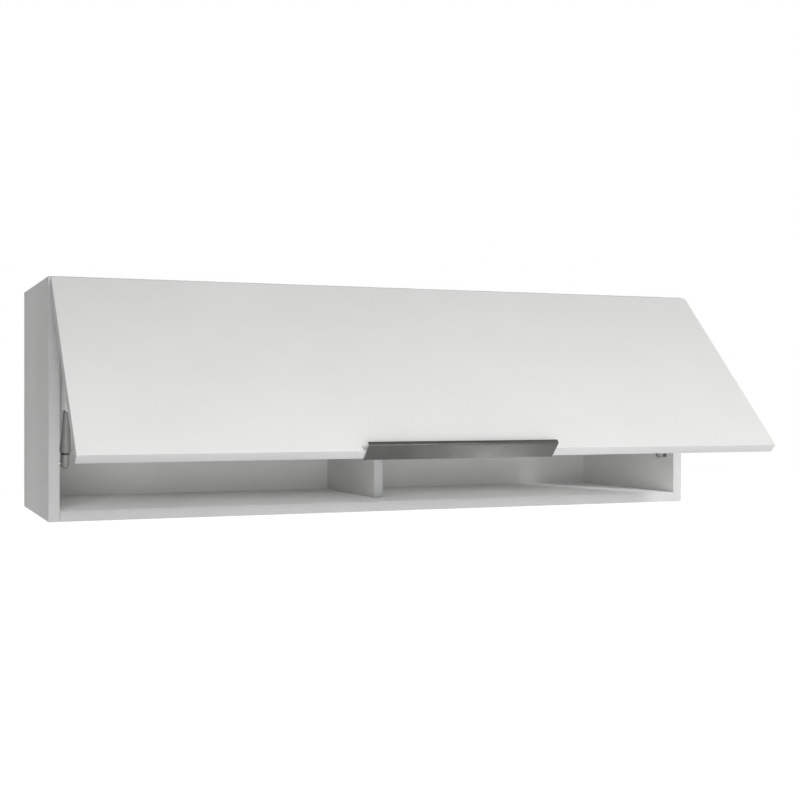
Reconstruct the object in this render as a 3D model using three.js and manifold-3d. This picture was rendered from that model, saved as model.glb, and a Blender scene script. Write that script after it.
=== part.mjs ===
// A lift-up wall cabinet: a white board carcass with one centre divider, closed by a single top-hung
// flap. The flap swings on two concealed cup hinges, two gas struts hold it, and a bent metal pull
// runs under its lower edge. Millimetres, +X right, +Y towards the wall, +Z up. The origin is the
// centre of the back, on the wall. The flap is shown half open, as it rests on its struts.
import * as THREE from "three";
import { mergeVertices } from "three/addons/utils/BufferGeometryUtils.js";
import Module from "manifold-3d";

const wasm = await Module();
wasm.setup();

// ---- Driving dimensions -------------------------------------------------------------------------

const WIDTH = 1000;
const HEIGHT = 330;
const DEPTH = 290;
const BOARD = 15; // melamine-faced particle board, carcass and flap alike

const BACK_THICKNESS = 3;
const BACK_REBATE = 8; // how far the back board reaches into each side panel
const DIVIDER_SETBACK = 69; // from the carcass front to the divider's front edge
const RAIL_HEIGHT = 60;
const WALL_HOLE_RADIUS = 3.5;
const WALL_HOLE_INSET = 70; // from a side panel's inner face

const FLAP_THICKNESS = 15;
const FLAP_GAP_SIDE = 1.5;
const FLAP_GAP_TOP = 3;
const FLAP_GAP_BOTTOM = 3;
const FLAP_GAP_REAR = 2; // between the closed flap and the carcass front
const FLAP_OPEN_DEG = 45; // how far the flap stands open in the modelled pose
const FLAP_FULL_DEG = 80; // and how far it opens
const PIVOT_FORWARD = 13.4; // the hinges' turning centre, in front of the carcass front
const PIVOT_DROP = 7.7; // and below the carcass top

const HANDLE_LENGTH = 272;
const HANDLE_SHEET = 1.4;
const HANDLE_REACH = 12; // how far the pull stands out in front of the flap
const HANDLE_LIP = 6.4;
const HANDLE_BEND = 0.6; // inside its bends
const HANDLE_FLANGE = 24;
const HANDLE_SCREW_INSET = 24; // from the pull's ends to its outer screws
const HANDLE_SCREW_RISE = 17; // above the flap's lower edge

const CAM_RADIUS = 7.5;
const CAM_DEPTH = 12.5;
const CAM_INSET = 34; // from the panel's end to the cam's centre
const CAM_FRONT_ROW = 37; // from the carcass front
const CAM_REAR_ROW = 60; // from the wall
const BOLT_RADIUS = 3.5;
const BOLT_HEAD_RADIUS = 2.6;
const BOLT_ANCHOR = 11; // how far the bolt screws into the side panel
const BOLT_TAPER = 2; // along the bolt, at its shoulder and at its tip
const BOLT_NECK_RADIUS = 1.8;
const CAM_SLOT_LENGTH = 8.25;
const CAM_SLOT_WIDTH = 1.65;
const CAM_SLOT_DEPTH = 2;

const HINGE_INSET = 115; // from the carcass side to a hinge's centre line
const CUP_RADIUS = 17.5;
const CUP_DEPTH = 11.5;
const CUP_WALL = 1.2;
const CUP_FROM_EDGE = 20.5; // from the flap's top edge to the cup's centre
const CUP_FLANGE_LENGTH = 60;
const CUP_FLANGE_WIDTH = 20;
const CUP_FLANGE_CORNER = 7;
const CUP_SCREW_PITCH = 48;
const ARM_WIDTH = 16;
const ARM_SHEET = 1.5;
const ARM_LENGTH = 60; // from the carcass front
const ARM_DEPTH = 10.5; // below the top panel, at its tail
const ARM_BEND = 15; // where the arm starts down to its nose, behind the carcass front
const NOSE_BEHIND = 1; // the arm's front pivot, behind the carcass front
const NOSE_DROP = 33; // and below the carcass top
const NOSE_RADIUS = 4;
const PIN_RADIUS = 1.6;
const LEVER_WIDTH = 11;
const LEVER_THICKNESS = 1.5;
const LEVER_EYE_WALL = 1.3;
const LEVER_KNEE = new THREE.Vector2(-3.5, 18); // forward of and along the line between its ends
const LEVER_END_SINK = 7.5; // the lever's cup end, inside the flap's rear face
const LEVER_END_DROP = 8; // and below the flap's top edge
const LEVER_TURN = 0.15; // the lever's turn, as a share of the flap's
const LEVER_PIN_RADIUS = 0.9;
const CHEEK_SHEET = 1.2; // the slotted cheeks in the cup, either side of the lever
const CHEEK_SINK = 2; // inside the flap's rear face
const CHEEK_DROP = 13; // their lower edge, below the flap's top edge
const PLATE_THICKNESS = 2;
const PLATE_EDGE = 6; // from a plate screw to the plate's edge
const PLATE_STRIP = 18;
const PLATE_LEAD = 16; // the strip, in front of the screw row
const PLATE_SCREW_ROW = 37; // from the carcass front
const PLATE_SCREW_PITCH = 32;
const PLATE_CORNER = 2;
const RIDGE_HEIGHT = 5;
const RIDGE_LENGTH = 28;

const STRUT_OFFSET = 10; // from a side panel's inner face to the strut's axis
const STRUT_FOOT_BEHIND = 24; // the lower ball, behind the carcass front
const STRUT_FOOT_RISE = 78; // and above the carcass base
const STRUT_HEAD_DROP = 38; // the upper ball, below the flap's top edge
const STRUT_HEAD_STANDOFF = 16; // and behind the flap's rear face
const TUBE_RADIUS = 8;
const TUBE_WALL = 1.3;
const TUBE_END_WALL = 3;
const TUBE_LENGTH = 115;
const ROD_RADIUS = 3;
const ROD_LENGTH = 43;
const ROD_CHAMFER = 0.9;
const SOCKET_RADIUS = 5.8;
const SOCKET_TIP = 8; // from the ball's centre to the socket's round end
const SOCKET_NECK = 11; // from the ball's centre to the groove under the cone
const GROOVE_RADIUS = 4.6;
const GROOVE_WIDTH = 2;
const RIM_RADIUS = 7.3;
const RIM_WIDTH = 3;
const CONE_LENGTH = 56;
const CONE_WALL = 0.6; // round the rod, at the cone's thin end
const ROD_GRIP = 12; // the length of rod held in the cone
const TOP_SOCKET_LENGTH = 15;
const BALL_RADIUS = 4;
const STUD_RADIUS = 2.2;
const STUD_PLAY = 0.7; // round the stud, where it enters the socket
const BALL_PLAY = 0.5; // round the ball, in its socket
const BRACKET_SHEET = 2;
const FOOT_SCREW_SETBACK = 16; // the lower bracket's screws, behind the ball
const FOOT_SCREW_RISE = 10; // the lower one, above the ball
const FOOT_SCREW_PITCH = 18;
const FOOT_EDGE = 7; // from a screw to the bracket's edge
const FOOT_CORNER = 3;
const EAR_GAP = 10; // from the strut's axis to the upper bracket's ear
const EAR_EDGE = 5; // round the stud
const EAR_FOOT = 26.4; // the ear's height where it leaves the bracket's base
const HEAD_BASE_WIDTH = 25;
const HEAD_BASE_HEIGHT = 44;
const HEAD_SCREW_PITCH = 28;

const SCREW_SHANK_RADIUS = 1.75;
const SCREW_HEAD_RADIUS = 3.5;
const SCREW_HEAD_HEIGHT = 2;
const SCREW_CROWN = 0.8; // the head's flat top, as a share of its radius
const SCREW_LENGTH = 11;
const DIVIDER_SCREW_LENGTH = 45;
const DIVIDER_SCREW_RADIUS = 2.5;
const DIVIDER_SCREW_HEAD = 4.7;

const BUMPER_RADIUS = 4;
const BUMPER_RISE = 40; // above the flap's lower edge

const FIT = 0.3; // gap between a piece and the hole or face made for it
const RUN_ON = 1; // how far a cutting tool runs past the face that it opens
const ROUND = 20; // sides of a full circle
const ROUND_SMALL = 8; // sides of a screw or pin
const ROUND_BALL = 12; // sides of a ball
const CORNER_STEPS = 3; // flats in a rounded corner

// ---- Places that follow from them ---------------------------------------------------------------

const front = -DEPTH;
const base = -HEIGHT / 2;
const roof = HEIGHT / 2;
const innerSide = WIDTH / 2 - BOARD;
const innerBase = base + BOARD;
const innerRoof = roof - BOARD;
const backFace = -BACK_THICKNESS; // the back board's inner face

const flapRear = front - FLAP_GAP_REAR;
const flapFace = flapRear - FLAP_THICKNESS;
const flapTop = roof - FLAP_GAP_TOP;
const flapFoot = base + FLAP_GAP_BOTTOM;
const flapHalf = WIDTH / 2 - FLAP_GAP_SIDE;
const pivot = new THREE.Vector2(front - PIVOT_FORWARD, roof - PIVOT_DROP); // (y, z)
const openAngle = THREE.MathUtils.degToRad(FLAP_OPEN_DEG);
const fullAngle = THREE.MathUtils.degToRad(FLAP_FULL_DEG);

const hingeX = WIDTH / 2 - HINGE_INSET;
const cupCentre = flapTop - CUP_FROM_EDGE;
const nose = new THREE.Vector2(front + NOSE_BEHIND, roof - NOSE_DROP);
const leverEndClosed = new THREE.Vector2(flapRear - LEVER_END_SINK, flapTop - LEVER_END_DROP);
const strutX = innerSide - STRUT_OFFSET;
const strutFoot = new THREE.Vector2(front + STRUT_FOOT_BEHIND, base + STRUT_FOOT_RISE);
const strutHeadClosed = new THREE.Vector2(flapRear + STRUT_HEAD_STANDOFF, flapTop - STRUT_HEAD_DROP);
// Opening the flap turns it clockwise in the (y, z) plane, about the pivot.
const strutHead = strutHeadClosed.clone().rotateAround(pivot, -openAngle);
const leverEnd = leverEndClosed.clone().rotateAround(pivot, -openAngle);
const strutLean = leanOf(strutFoot, strutHead);
const leverLean = leanOf(nose, leverEnd);
const leverLength = nose.distanceTo(leverEnd);
const railBottom = innerRoof - RAIL_HEIGHT;
const railFront = backFace - BOARD;
const camRows = [front + CAM_FRONT_ROW, -CAM_REAR_ROW];
const dividerScrewY = (front + DIVIDER_SETBACK + backFace) / 2;
const studHole = STUD_RADIUS + STUD_PLAY;
const plateScrews = [-0.5, 0.5].map((half) => half * PLATE_SCREW_PITCH);
const footScrews = [0, FOOT_SCREW_PITCH].map((step) => [
  strutFoot.x + FOOT_SCREW_SETBACK,
  strutFoot.y + FOOT_SCREW_RISE + step,
]);

/** Where the lever's end lies in the closed flap's (y, z), once the flap stands open by an angle. */
function leverEndAt(angle) {
  const turn = LEVER_TURN * (angle - openAngle);
  return leverEnd.clone().rotateAround(nose, turn).rotateAround(pivot, angle);
}

/** How far the line from one (y, z) point up to another leans forwards, in radians. */
function leanOf(from, to) {
  return Math.atan2(from.x - to.x, to.y - from.y);
}

// ---- Materials ----------------------------------------------------------------------------------

const melamine = new THREE.MeshStandardMaterial({ color: 0xdededc, roughness: 0.45 });
const backing = new THREE.MeshStandardMaterial({ color: 0xdcdcda, roughness: 0.6 });
const aluminium = new THREE.MeshStandardMaterial({ color: 0x8a8a89, roughness: 0.3, metalness: 1 });
const nickel = new THREE.MeshStandardMaterial({ color: 0xb9b8b3, roughness: 0.25, metalness: 1 });
const zinc = new THREE.MeshStandardMaterial({ color: 0xa9abad, roughness: 0.4, metalness: 1 });
const chrome = new THREE.MeshStandardMaterial({ color: 0xd8d9da, roughness: 0.1, metalness: 1 });
const greyPaint = new THREE.MeshStandardMaterial({ color: 0x9a9b9a, roughness: 0.4 });
const greyPlastic = new THREE.MeshStandardMaterial({ color: 0x7d7e7c, roughness: 0.5 });
const clearRubber = new THREE.MeshStandardMaterial({ color: 0xcfd0cd, roughness: 0.5 });

// ---- Shaping helpers ----------------------------------------------------------------------------

/** A closed geometry as a solid that can be joined and cut. */
function solidOf(geometry) {
  const bare = geometry.clone();
  bare.deleteAttribute("normal");
  bare.deleteAttribute("uv");
  const merged = mergeVertices(bare, 1e-4);
  const triVerts = new Uint32Array(merged.index.array);
  const vertProperties = merged.attributes.position.array;
  return new wasm.Manifold(new wasm.Mesh({ numProp: 3, vertProperties, triVerts }));
}

/** A solid as a flat-shaded geometry. */
function geometryOf(solid) {
  const mesh = solid.getMesh();
  const geometry = new THREE.BufferGeometry();
  geometry.setAttribute("position", new THREE.BufferAttribute(new Float32Array(mesh.vertProperties), 3));
  geometry.setIndex(new THREE.BufferAttribute(new Uint32Array(mesh.triVerts), 1));
  const faceted = geometry.toNonIndexed();
  faceted.computeVertexNormals();
  return faceted;
}

/** The first geometry with the others cut out of it. */
function cut(geometry, ...tools) {
  return geometryOf(tools.reduce((left, tool) => left.subtract(solidOf(tool)), solidOf(geometry)));
}

/** All the geometries joined into one. */
function join(geometry, ...others) {
  return geometryOf(others.reduce((sum, other) => sum.add(solidOf(other)), solidOf(geometry)));
}

/** A box between two corners, given in either order. */
function block([x0, y0, z0], [x1, y1, z1]) {
  const size = [Math.abs(x1 - x0), Math.abs(y1 - y0), Math.abs(z1 - z0)];
  return new THREE.BoxGeometry(...size).translate((x0 + x1) / 2, (y0 + y1) / 2, (z0 + z1) / 2);
}

/** A round bar from one point to another. */
function bar(from, to, radius, sides = ROUND_SMALL) {
  const start = new THREE.Vector3(...from);
  const along = new THREE.Vector3(...to).sub(start);
  const turn = new THREE.Quaternion().setFromUnitVectors(
    new THREE.Vector3(0, 1, 0),
    along.clone().normalize(),
  );
  return new THREE.CylinderGeometry(radius, radius, along.length(), sides)
    .applyQuaternion(turn)
    .translate(...start.addScaledVector(along, 0.5).toArray());
}

/** A ball about a point. */
function ball(centre, radius) {
  return new THREE.SphereGeometry(radius, ROUND_BALL, ROUND_BALL / 2).translate(...centre);
}

/** A turned piece: [radius, height] points from the axis and back to it, about +Z. */
function turned(profile, sides = ROUND) {
  const points = profile.map(([radius, height]) => new THREE.Vector2(radius, height));
  return new THREE.LatheGeometry(points, sides).rotateX(Math.PI / 2);
}

/** A flat outline given a depth. */
function prism(shape, depth) {
  return new THREE.ExtrudeGeometry(shape, { depth, bevelEnabled: false, curveSegments: CORNER_STEPS });
}

/** A side outline in (y, z), drawn counterclockwise as seen from +X, extruded from x0 to x1. */
function acrossX(shape, x0, x1) {
  const toSide = new THREE.Matrix4().makeBasis(
    new THREE.Vector3(0, 1, 0),
    new THREE.Vector3(0, 0, 1),
    new THREE.Vector3(1, 0, 0),
  );
  return prism(shape, x1 - x0).applyMatrix4(toSide).translate(x0, 0, 0);
}

/** A plan outline in (x, y), extruded from z0 to z1. */
function upright(shape, z0, z1) {
  return prism(shape, z1 - z0).translate(0, 0, z0);
}

/** A shape from a list of points. */
function outline(points) {
  return new THREE.Shape(points.map(([a, b]) => new THREE.Vector2(a, b)));
}

/** A rectangle with round corners, between two corners. */
function roundedOutline(a0, b0, a1, b1, radius) {
  const shape = new THREE.Shape();
  shape.moveTo(a0 + radius, b0);
  shape.lineTo(a1 - radius, b0);
  shape.absarc(a1 - radius, b0 + radius, radius, -Math.PI / 2, 0);
  shape.lineTo(a1, b1 - radius);
  shape.absarc(a1 - radius, b1 - radius, radius, 0, Math.PI / 2);
  shape.lineTo(a0 + radius, b1);
  shape.absarc(a0 + radius, b1 - radius, radius, Math.PI / 2, Math.PI);
  shape.lineTo(a0, b0 + radius);
  shape.absarc(a0 + radius, b0 + radius, radius, Math.PI, 1.5 * Math.PI);
  return shape;
}

/** A pan-head screw about +Z: its head stands on z = 0 and its shank runs down. */
function screw(length, shankRadius = SCREW_SHANK_RADIUS, headRadius = SCREW_HEAD_RADIUS) {
  return turned(
    [
      [0, -length],
      [shankRadius, 2 * shankRadius - length],
      [shankRadius, 0],
      [headRadius, 0],
      [headRadius * SCREW_CROWN, SCREW_HEAD_HEIGHT],
      [0, SCREW_HEAD_HEIGHT],
    ],
    ROUND_SMALL,
  );
}

/** A strip of even thickness along an open line of (y, z) points, square at its ends. */
function strip(points, thickness) {
  const edge = (side) =>
    points.map((point, index) => {
      const before = points[Math.max(index - 1, 0)];
      const after = points[Math.min(index + 1, points.length - 1)];
      const normals = [
        [before, point],
        [point, after],
      ]
        .filter(([a, b]) => a !== b)
        .map(([a, b]) => b.clone().sub(a).normalize())
        .map(({ x, y }) => new THREE.Vector2(y, -x));
      const middle = normals.reduce((sum, normal) => sum.clone().add(normal)).normalize();
      const mitre = thickness / 2 / middle.dot(normals[0]);
      return point.clone().addScaledVector(middle, side * mitre);
    });
  return new THREE.Shape([...edge(1), ...edge(-1).reverse()]);
}

/** A named mesh. */
function piece(name, geometry, material) {
  const mesh = new THREE.Mesh(geometry, material);
  mesh.name = name;
  return mesh;
}

const cabinet = new THREE.Group();
const sides = [
  { name: "left", sign: -1 },
  { name: "right", sign: 1 },
];

// ---- Carcass ------------------------------------------------------------------------------------

/** One side panel, rebated for the back board and bored for its bolts and bracket screws. */
function sidePanel({ sign }) {
  const inner = sign * innerSide;
  const outer = (sign * WIDTH) / 2;
  const rebate = sign * (innerSide + BACK_REBATE);
  const plan = [
    [outer, front],
    [outer, 0],
    [rebate, 0],
    [rebate, backFace],
    [inner, backFace],
    [inner, front],
  ];
  if (sign < 0) plan.reverse();
  const bolts = camRows.flatMap((y) =>
    [base + BOARD / 2, roof - BOARD / 2].map((z) =>
      bar(
        [inner - sign * RUN_ON, y, z],
        [inner + sign * (BOLT_ANCHOR + FIT), y, z],
        BOLT_RADIUS + FIT,
      ),
    ),
  );
  const screws = footScrews.map(([y, z]) =>
    bar(
      [inner - sign * RUN_ON, y, z],
      [inner + sign * (SCREW_LENGTH - BRACKET_SHEET + FIT), y, z],
      SCREW_SHANK_RADIUS + FIT,
    ),
  );
  return cut(upright(outline(plan), base, roof), ...bolts, ...screws);
}

/** The top or bottom panel. Cams sit in its outer face, which faces up (+1) or down (-1). */
function levelPanel(outerFace, facing) {
  const innerFace = outerFace - facing * BOARD;
  const middle = (outerFace + innerFace) / 2;
  const cams = sides.flatMap(({ sign }) =>
    camRows.flatMap((y) => {
      const x = sign * (innerSide - CAM_INSET);
      return [
        bar(
          [x, y, outerFace - facing * (CAM_DEPTH + FIT)],
          [x, y, outerFace + facing * RUN_ON],
          CAM_RADIUS + FIT,
          ROUND,
        ),
        bar([x, y, middle], [sign * (innerSide + RUN_ON), y, middle], BOLT_RADIUS + FIT),
      ];
    }),
  );
  const dividerScrew = bar(
    [0, dividerScrewY, innerFace - facing * RUN_ON],
    [0, dividerScrewY, outerFace + facing * RUN_ON],
    DIVIDER_SCREW_RADIUS + FIT,
  );
  const screwHead = bar(
    [0, dividerScrewY, outerFace - facing * (SCREW_HEAD_HEIGHT + FIT)],
    [0, dividerScrewY, outerFace + facing * RUN_ON],
    DIVIDER_SCREW_HEAD + FIT,
  );
  return cut(
    block([-innerSide, front, innerFace], [innerSide, backFace, outerFace]),
    ...cams,
    dividerScrew,
    screwHead,
  );
}

for (const side of sides) cabinet.add(piece("side_panel_" + side.name, sidePanel(side), melamine));

const plateBores = sides.flatMap(({ sign }) =>
  plateScrews.map((step) => {
    const x = sign * hingeX + step;
    const y = front + PLATE_SCREW_ROW;
    return bar(
      [x, y, innerRoof - RUN_ON],
      [x, y, innerRoof + SCREW_LENGTH - PLATE_THICKNESS + FIT],
      SCREW_SHANK_RADIUS + FIT,
    );
  }),
);
cabinet.add(piece("top_panel", cut(levelPanel(roof, 1), ...plateBores), melamine));
cabinet.add(piece("bottom_panel", levelPanel(base, -1), melamine));

const dividerFront = front + DIVIDER_SETBACK;
const dividerSide = outline([
  [dividerFront, innerBase],
  [backFace, innerBase],
  [backFace, railBottom],
  [railFront, railBottom],
  [railFront, innerRoof],
  [dividerFront, innerRoof],
]);
const screwReach = DIVIDER_SCREW_LENGTH + FIT;
cabinet.add(
  piece(
    "centre_divider",
    cut(
      acrossX(dividerSide, -BOARD / 2, BOARD / 2),
      ...[1, -1].map((facing) =>
        bar(
          [0, dividerScrewY, facing * (roof - SCREW_HEAD_HEIGHT - screwReach)],
          [0, dividerScrewY, facing * (innerRoof + RUN_ON)],
          DIVIDER_SCREW_RADIUS + FIT,
        ),
      ),
    ),
    melamine,
  ),
);

const wallHoles = sides.map(({ sign }) => {
  const x = sign * (innerSide - WALL_HOLE_INSET);
  const z = innerRoof - RAIL_HEIGHT / 2;
  return bar([x, railFront - RUN_ON, z], [x, RUN_ON, z], WALL_HOLE_RADIUS);
});
const rail = block([-innerSide, railFront, railBottom], [innerSide, backFace, innerRoof]);
cabinet.add(piece("hanging_rail", cut(rail, ...wallHoles), melamine));
const backHalf = innerSide + BACK_REBATE;
const backBoard = block([-backHalf, backFace, base], [backHalf, 0, roof]);
cabinet.add(piece("back_board", cut(backBoard, ...wallHoles), backing));

// ---- Cam locks and their bolts ------------------------------------------------------------------

/** A cam about +Z, its slotted face at z = 0, open on the +X side for the bolt's head. */
function camLock() {
  const drum = turned(
    [
      [0, -CAM_DEPTH],
      [CAM_RADIUS, -CAM_DEPTH],
      [CAM_RADIUS, 0],
      [0, 0],
    ],
    ROUND,
  );
  const throat = bar(
    [-BOLT_HEAD_RADIUS - FIT, 0, -BOARD / 2],
    [CAM_RADIUS + RUN_ON, 0, -BOARD / 2],
    BOLT_HEAD_RADIUS + FIT,
  );
  const long = CAM_SLOT_LENGTH / 2;
  const short = CAM_SLOT_WIDTH / 2;
  return cut(
    drum,
    throat,
    block([-long, -short, -CAM_SLOT_DEPTH], [long, short, RUN_ON]),
    block([-short, -long, -CAM_SLOT_DEPTH], [short, long, RUN_ON]),
  );
}

/** A cam bolt along +X: its head in the cam at x = 0, its thread in the side panel. */
function camBolt() {
  const total = CAM_INSET + BOLT_ANCHOR;
  return turned(
    [
      [0, -BOLT_HEAD_RADIUS],
      [BOLT_HEAD_RADIUS, -BOLT_HEAD_RADIUS],
      [BOLT_HEAD_RADIUS, 0],
      [BOLT_NECK_RADIUS, BOLT_HEAD_RADIUS],
      [BOLT_NECK_RADIUS, CAM_RADIUS],
      [BOLT_RADIUS, CAM_RADIUS + BOLT_TAPER],
      [BOLT_RADIUS, total - BOLT_TAPER],
      [0, total],
    ],
    ROUND_SMALL,
  ).rotateY(Math.PI / 2);
}

const camGeometry = camLock();
const boltGeometry = camBolt();
const levels = [
  { name: "top", facing: 1 },
  { name: "bottom", facing: -1 },
];
for (const level of levels)
  for (const side of sides)
    camRows.forEach((y, row) => {
      const place = [level.name, side.name, ["front", "rear"][row]].join("_");
      const cam = piece("cam_" + place, camGeometry, zinc);
      cam.position.set(side.sign * (innerSide - CAM_INSET), y, level.facing * roof);
      // A half turn about X faces the slot down, and one about Z opens the cam to the left.
      cam.rotation.set(level.facing > 0 ? 0 : Math.PI, 0, side.sign > 0 ? 0 : Math.PI);
      const bolt = piece("bolt_" + place, boltGeometry, zinc);
      bolt.position.set(side.sign * (innerSide - CAM_INSET), y, level.facing * (roof - BOARD / 2));
      bolt.rotation.z = side.sign > 0 ? 0 : Math.PI;
      cabinet.add(cam, bolt);
    });

const dividerScrew = screw(DIVIDER_SCREW_LENGTH, DIVIDER_SCREW_RADIUS, DIVIDER_SCREW_HEAD);
for (const level of levels) {
  const fixing = piece("divider_screw_" + level.name, dividerScrew, zinc);
  fixing.position.set(0, dividerScrewY, level.facing * (roof - SCREW_HEAD_HEIGHT));
  fixing.rotation.x = level.facing > 0 ? 0 : Math.PI;
  cabinet.add(fixing);
}

// ---- Cup hinges ---------------------------------------------------------------------------------

/** The mounting plate under the top panel: a cross with a ridge that the arm clips over. */
function mountingPlate(x) {
  const wing = PLATE_SCREW_PITCH / 2 + PLATE_EDGE;
  const row = front + PLATE_SCREW_ROW;
  const under = innerRoof - PLATE_THICKNESS;
  const ridge = ARM_WIDTH / 2 - ARM_SHEET - FIT;
  const strip = PLATE_STRIP / 2;
  const crossbar = roundedOutline(x - wing, row - PLATE_EDGE, x + wing, row + PLATE_EDGE, PLATE_CORNER);
  const stem = roundedOutline(x - strip, row - PLATE_LEAD, x + strip, front + ARM_LENGTH, PLATE_CORNER);
  const plate = join(
    upright(crossbar, under, innerRoof),
    upright(stem, under, innerRoof),
    block(
      [x - ridge, front + ARM_LENGTH - RIDGE_LENGTH, under - RIDGE_HEIGHT],
      [x + ridge, front + ARM_LENGTH, innerRoof],
    ),
  );
  const holes = plateScrews.map((step) =>
    bar([x + step, row, under - RUN_ON], [x + step, row, innerRoof + RUN_ON], SCREW_SHANK_RADIUS + FIT),
  );
  return cut(plate, ...holes);
}

/** The arm: a channel under the plate that runs forward and down to a forked nose with a pin. */
function hingeArm(x) {
  const top = innerRoof - PLATE_THICKNESS - FIT;
  const tail = front + ARM_LENGTH;
  const low = innerRoof - ARM_DEPTH;
  const webEnd = nose.x + NOSE_RADIUS;
  const fork = nose.x - NOSE_RADIUS - RUN_ON;
  const side = new THREE.Shape();
  side.moveTo(tail, low);
  side.lineTo(tail, top);
  side.lineTo(front + ARM_BEND, top);
  side.absarc(nose.x, nose.y, NOSE_RADIUS, 0.75 * Math.PI, 1.75 * Math.PI);
  side.lineTo(front + ARM_BEND + NOSE_RADIUS, low);
  const hollow = outline([
    [tail + RUN_ON, low + ARM_SHEET],
    [tail + RUN_ON, top + RUN_ON],
    [fork, top + RUN_ON],
    [fork, nose.y - NOSE_RADIUS - RUN_ON],
    [webEnd, nose.y - NOSE_RADIUS - RUN_ON],
    [webEnd, nose.y],
    [front + ARM_BEND + NOSE_RADIUS, low + ARM_SHEET],
  ]);
  const half = ARM_WIDTH / 2;
  const channel = cut(
    acrossX(side, x - half, x + half),
    acrossX(hollow, x - half + ARM_SHEET, x + half - ARM_SHEET),
  );
  return join(channel, bar([x - half, nose.x, nose.y], [x + half, nose.x, nose.y], PIN_RADIUS));
}

/** The cranked lever from the arm's nose into the cup, upright about its own pivot. */
function hingeLever(x) {
  const left = x - LEVER_WIDTH / 2;
  const right = x + LEVER_WIDTH / 2;
  const reach = FIT + CHEEK_SHEET;
  const spine = [new THREE.Vector2(), LEVER_KNEE, new THREE.Vector2(0, leverLength)];
  return cut(
    join(
      acrossX(strip(spine, LEVER_THICKNESS), left, right),
      bar([left, 0, 0], [right, 0, 0], PIN_RADIUS + FIT + LEVER_EYE_WALL),
      bar([left - reach, 0, leverLength], [right + reach, 0, leverLength], LEVER_PIN_RADIUS),
    ),
    bar([left - RUN_ON, 0, 0], [right + RUN_ON, 0, 0], PIN_RADIUS + FIT),
  );
}

/** The way that the lever's end pin takes through the cheeks of a cup, as a cutting tool. */
function pinSlot(x) {
  const path = [0, 0.25, 0.5, 0.75, 1].map((share) => leverEndAt(share * fullAngle));
  const radius = LEVER_PIN_RADIUS + FIT;
  const left = x - CUP_RADIUS / 2;
  const right = x + CUP_RADIUS / 2;
  const ends = [path[0], path[path.length - 1]];
  return join(
    acrossX(strip(path, 2 * radius), left, right),
    ...ends.map((end) => bar([left, end.x, end.y], [right, end.x, end.y], radius)),
  );
}

/** The cup, where the flap is closed: sunk in the board, with a screw flange and slotted cheeks. */
function hingeCup(x) {
  const seat = flapRear + FIT;
  const mouth = seat + CUP_WALL;
  const floor = flapRear - CUP_DEPTH;
  const halfLength = CUP_FLANGE_LENGTH / 2;
  const halfWidth = CUP_FLANGE_WIDTH / 2;
  const flange = roundedOutline(-halfLength, -halfWidth, halfLength, halfWidth, CUP_FLANGE_CORNER);
  const flangePlate = upright(flange, 0, CUP_WALL).rotateX(Math.PI / 2).translate(x, mouth, cupCentre);
  const holes = [-0.5, 0.5].map((half) => {
    const holeX = x + half * CUP_SCREW_PITCH;
    return bar(
      [holeX, seat - RUN_ON, cupCentre],
      [holeX, mouth + RUN_ON, cupCentre],
      SCREW_SHANK_RADIUS + FIT,
    );
  });
  const shell = cut(
    join(bar([x, floor, cupCentre], [x, mouth, cupCentre], CUP_RADIUS, ROUND), flangePlate),
    bar([x, floor + CUP_WALL, cupCentre], [x, mouth + RUN_ON, cupCentre], CUP_RADIUS - CUP_WALL, ROUND),
    ...holes,
  );
  const near = LEVER_WIDTH / 2 + FIT;
  const far = near + CHEEK_SHEET;
  const wallTop = cupCentre + Math.sqrt((CUP_RADIUS - CUP_WALL / 2) ** 2 - far ** 2);
  const cheeks = [-1, 1].map((sign) =>
    block(
      [x + sign * near, floor + CUP_WALL / 2, flapTop - CHEEK_DROP],
      [x + sign * far, flapRear - CHEEK_SINK, wallTop],
    ),
  );
  return cut(join(shell, ...cheeks), pinSlot(x));
}

// The flap and all that it carries are drawn as they lie when it is closed, and turned with it.
const flapTurn = new THREE.Group();
flapTurn.position.set(0, pivot.x, pivot.y);
flapTurn.rotation.x = -openAngle;
cabinet.add(flapTurn);
const flapGroup = new THREE.Group();
flapGroup.position.set(0, -pivot.x, -pivot.y);
flapTurn.add(flapGroup);

for (const { name, sign } of sides) {
  const x = sign * hingeX;
  cabinet.add(piece("hinge_plate_" + name, mountingPlate(x), nickel));
  cabinet.add(piece("hinge_arm_" + name, hingeArm(x), nickel));
  plateScrews.forEach((step, index) => {
    const fixing = piece("hinge_screw_" + name + "_" + (index + 1), screw(SCREW_LENGTH), nickel);
    fixing.position.set(x + step, front + PLATE_SCREW_ROW, innerRoof - PLATE_THICKNESS);
    fixing.rotation.x = Math.PI;
    cabinet.add(fixing);
  });
  const lever = piece("hinge_lever_" + name, hingeLever(x), nickel);
  lever.position.set(0, nose.x, nose.y);
  lever.rotation.x = leverLean;
  cabinet.add(lever);
  flapGroup.add(piece("hinge_cup_" + name, hingeCup(x), nickel));
}

// ---- Gas struts ---------------------------------------------------------------------------------

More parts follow.
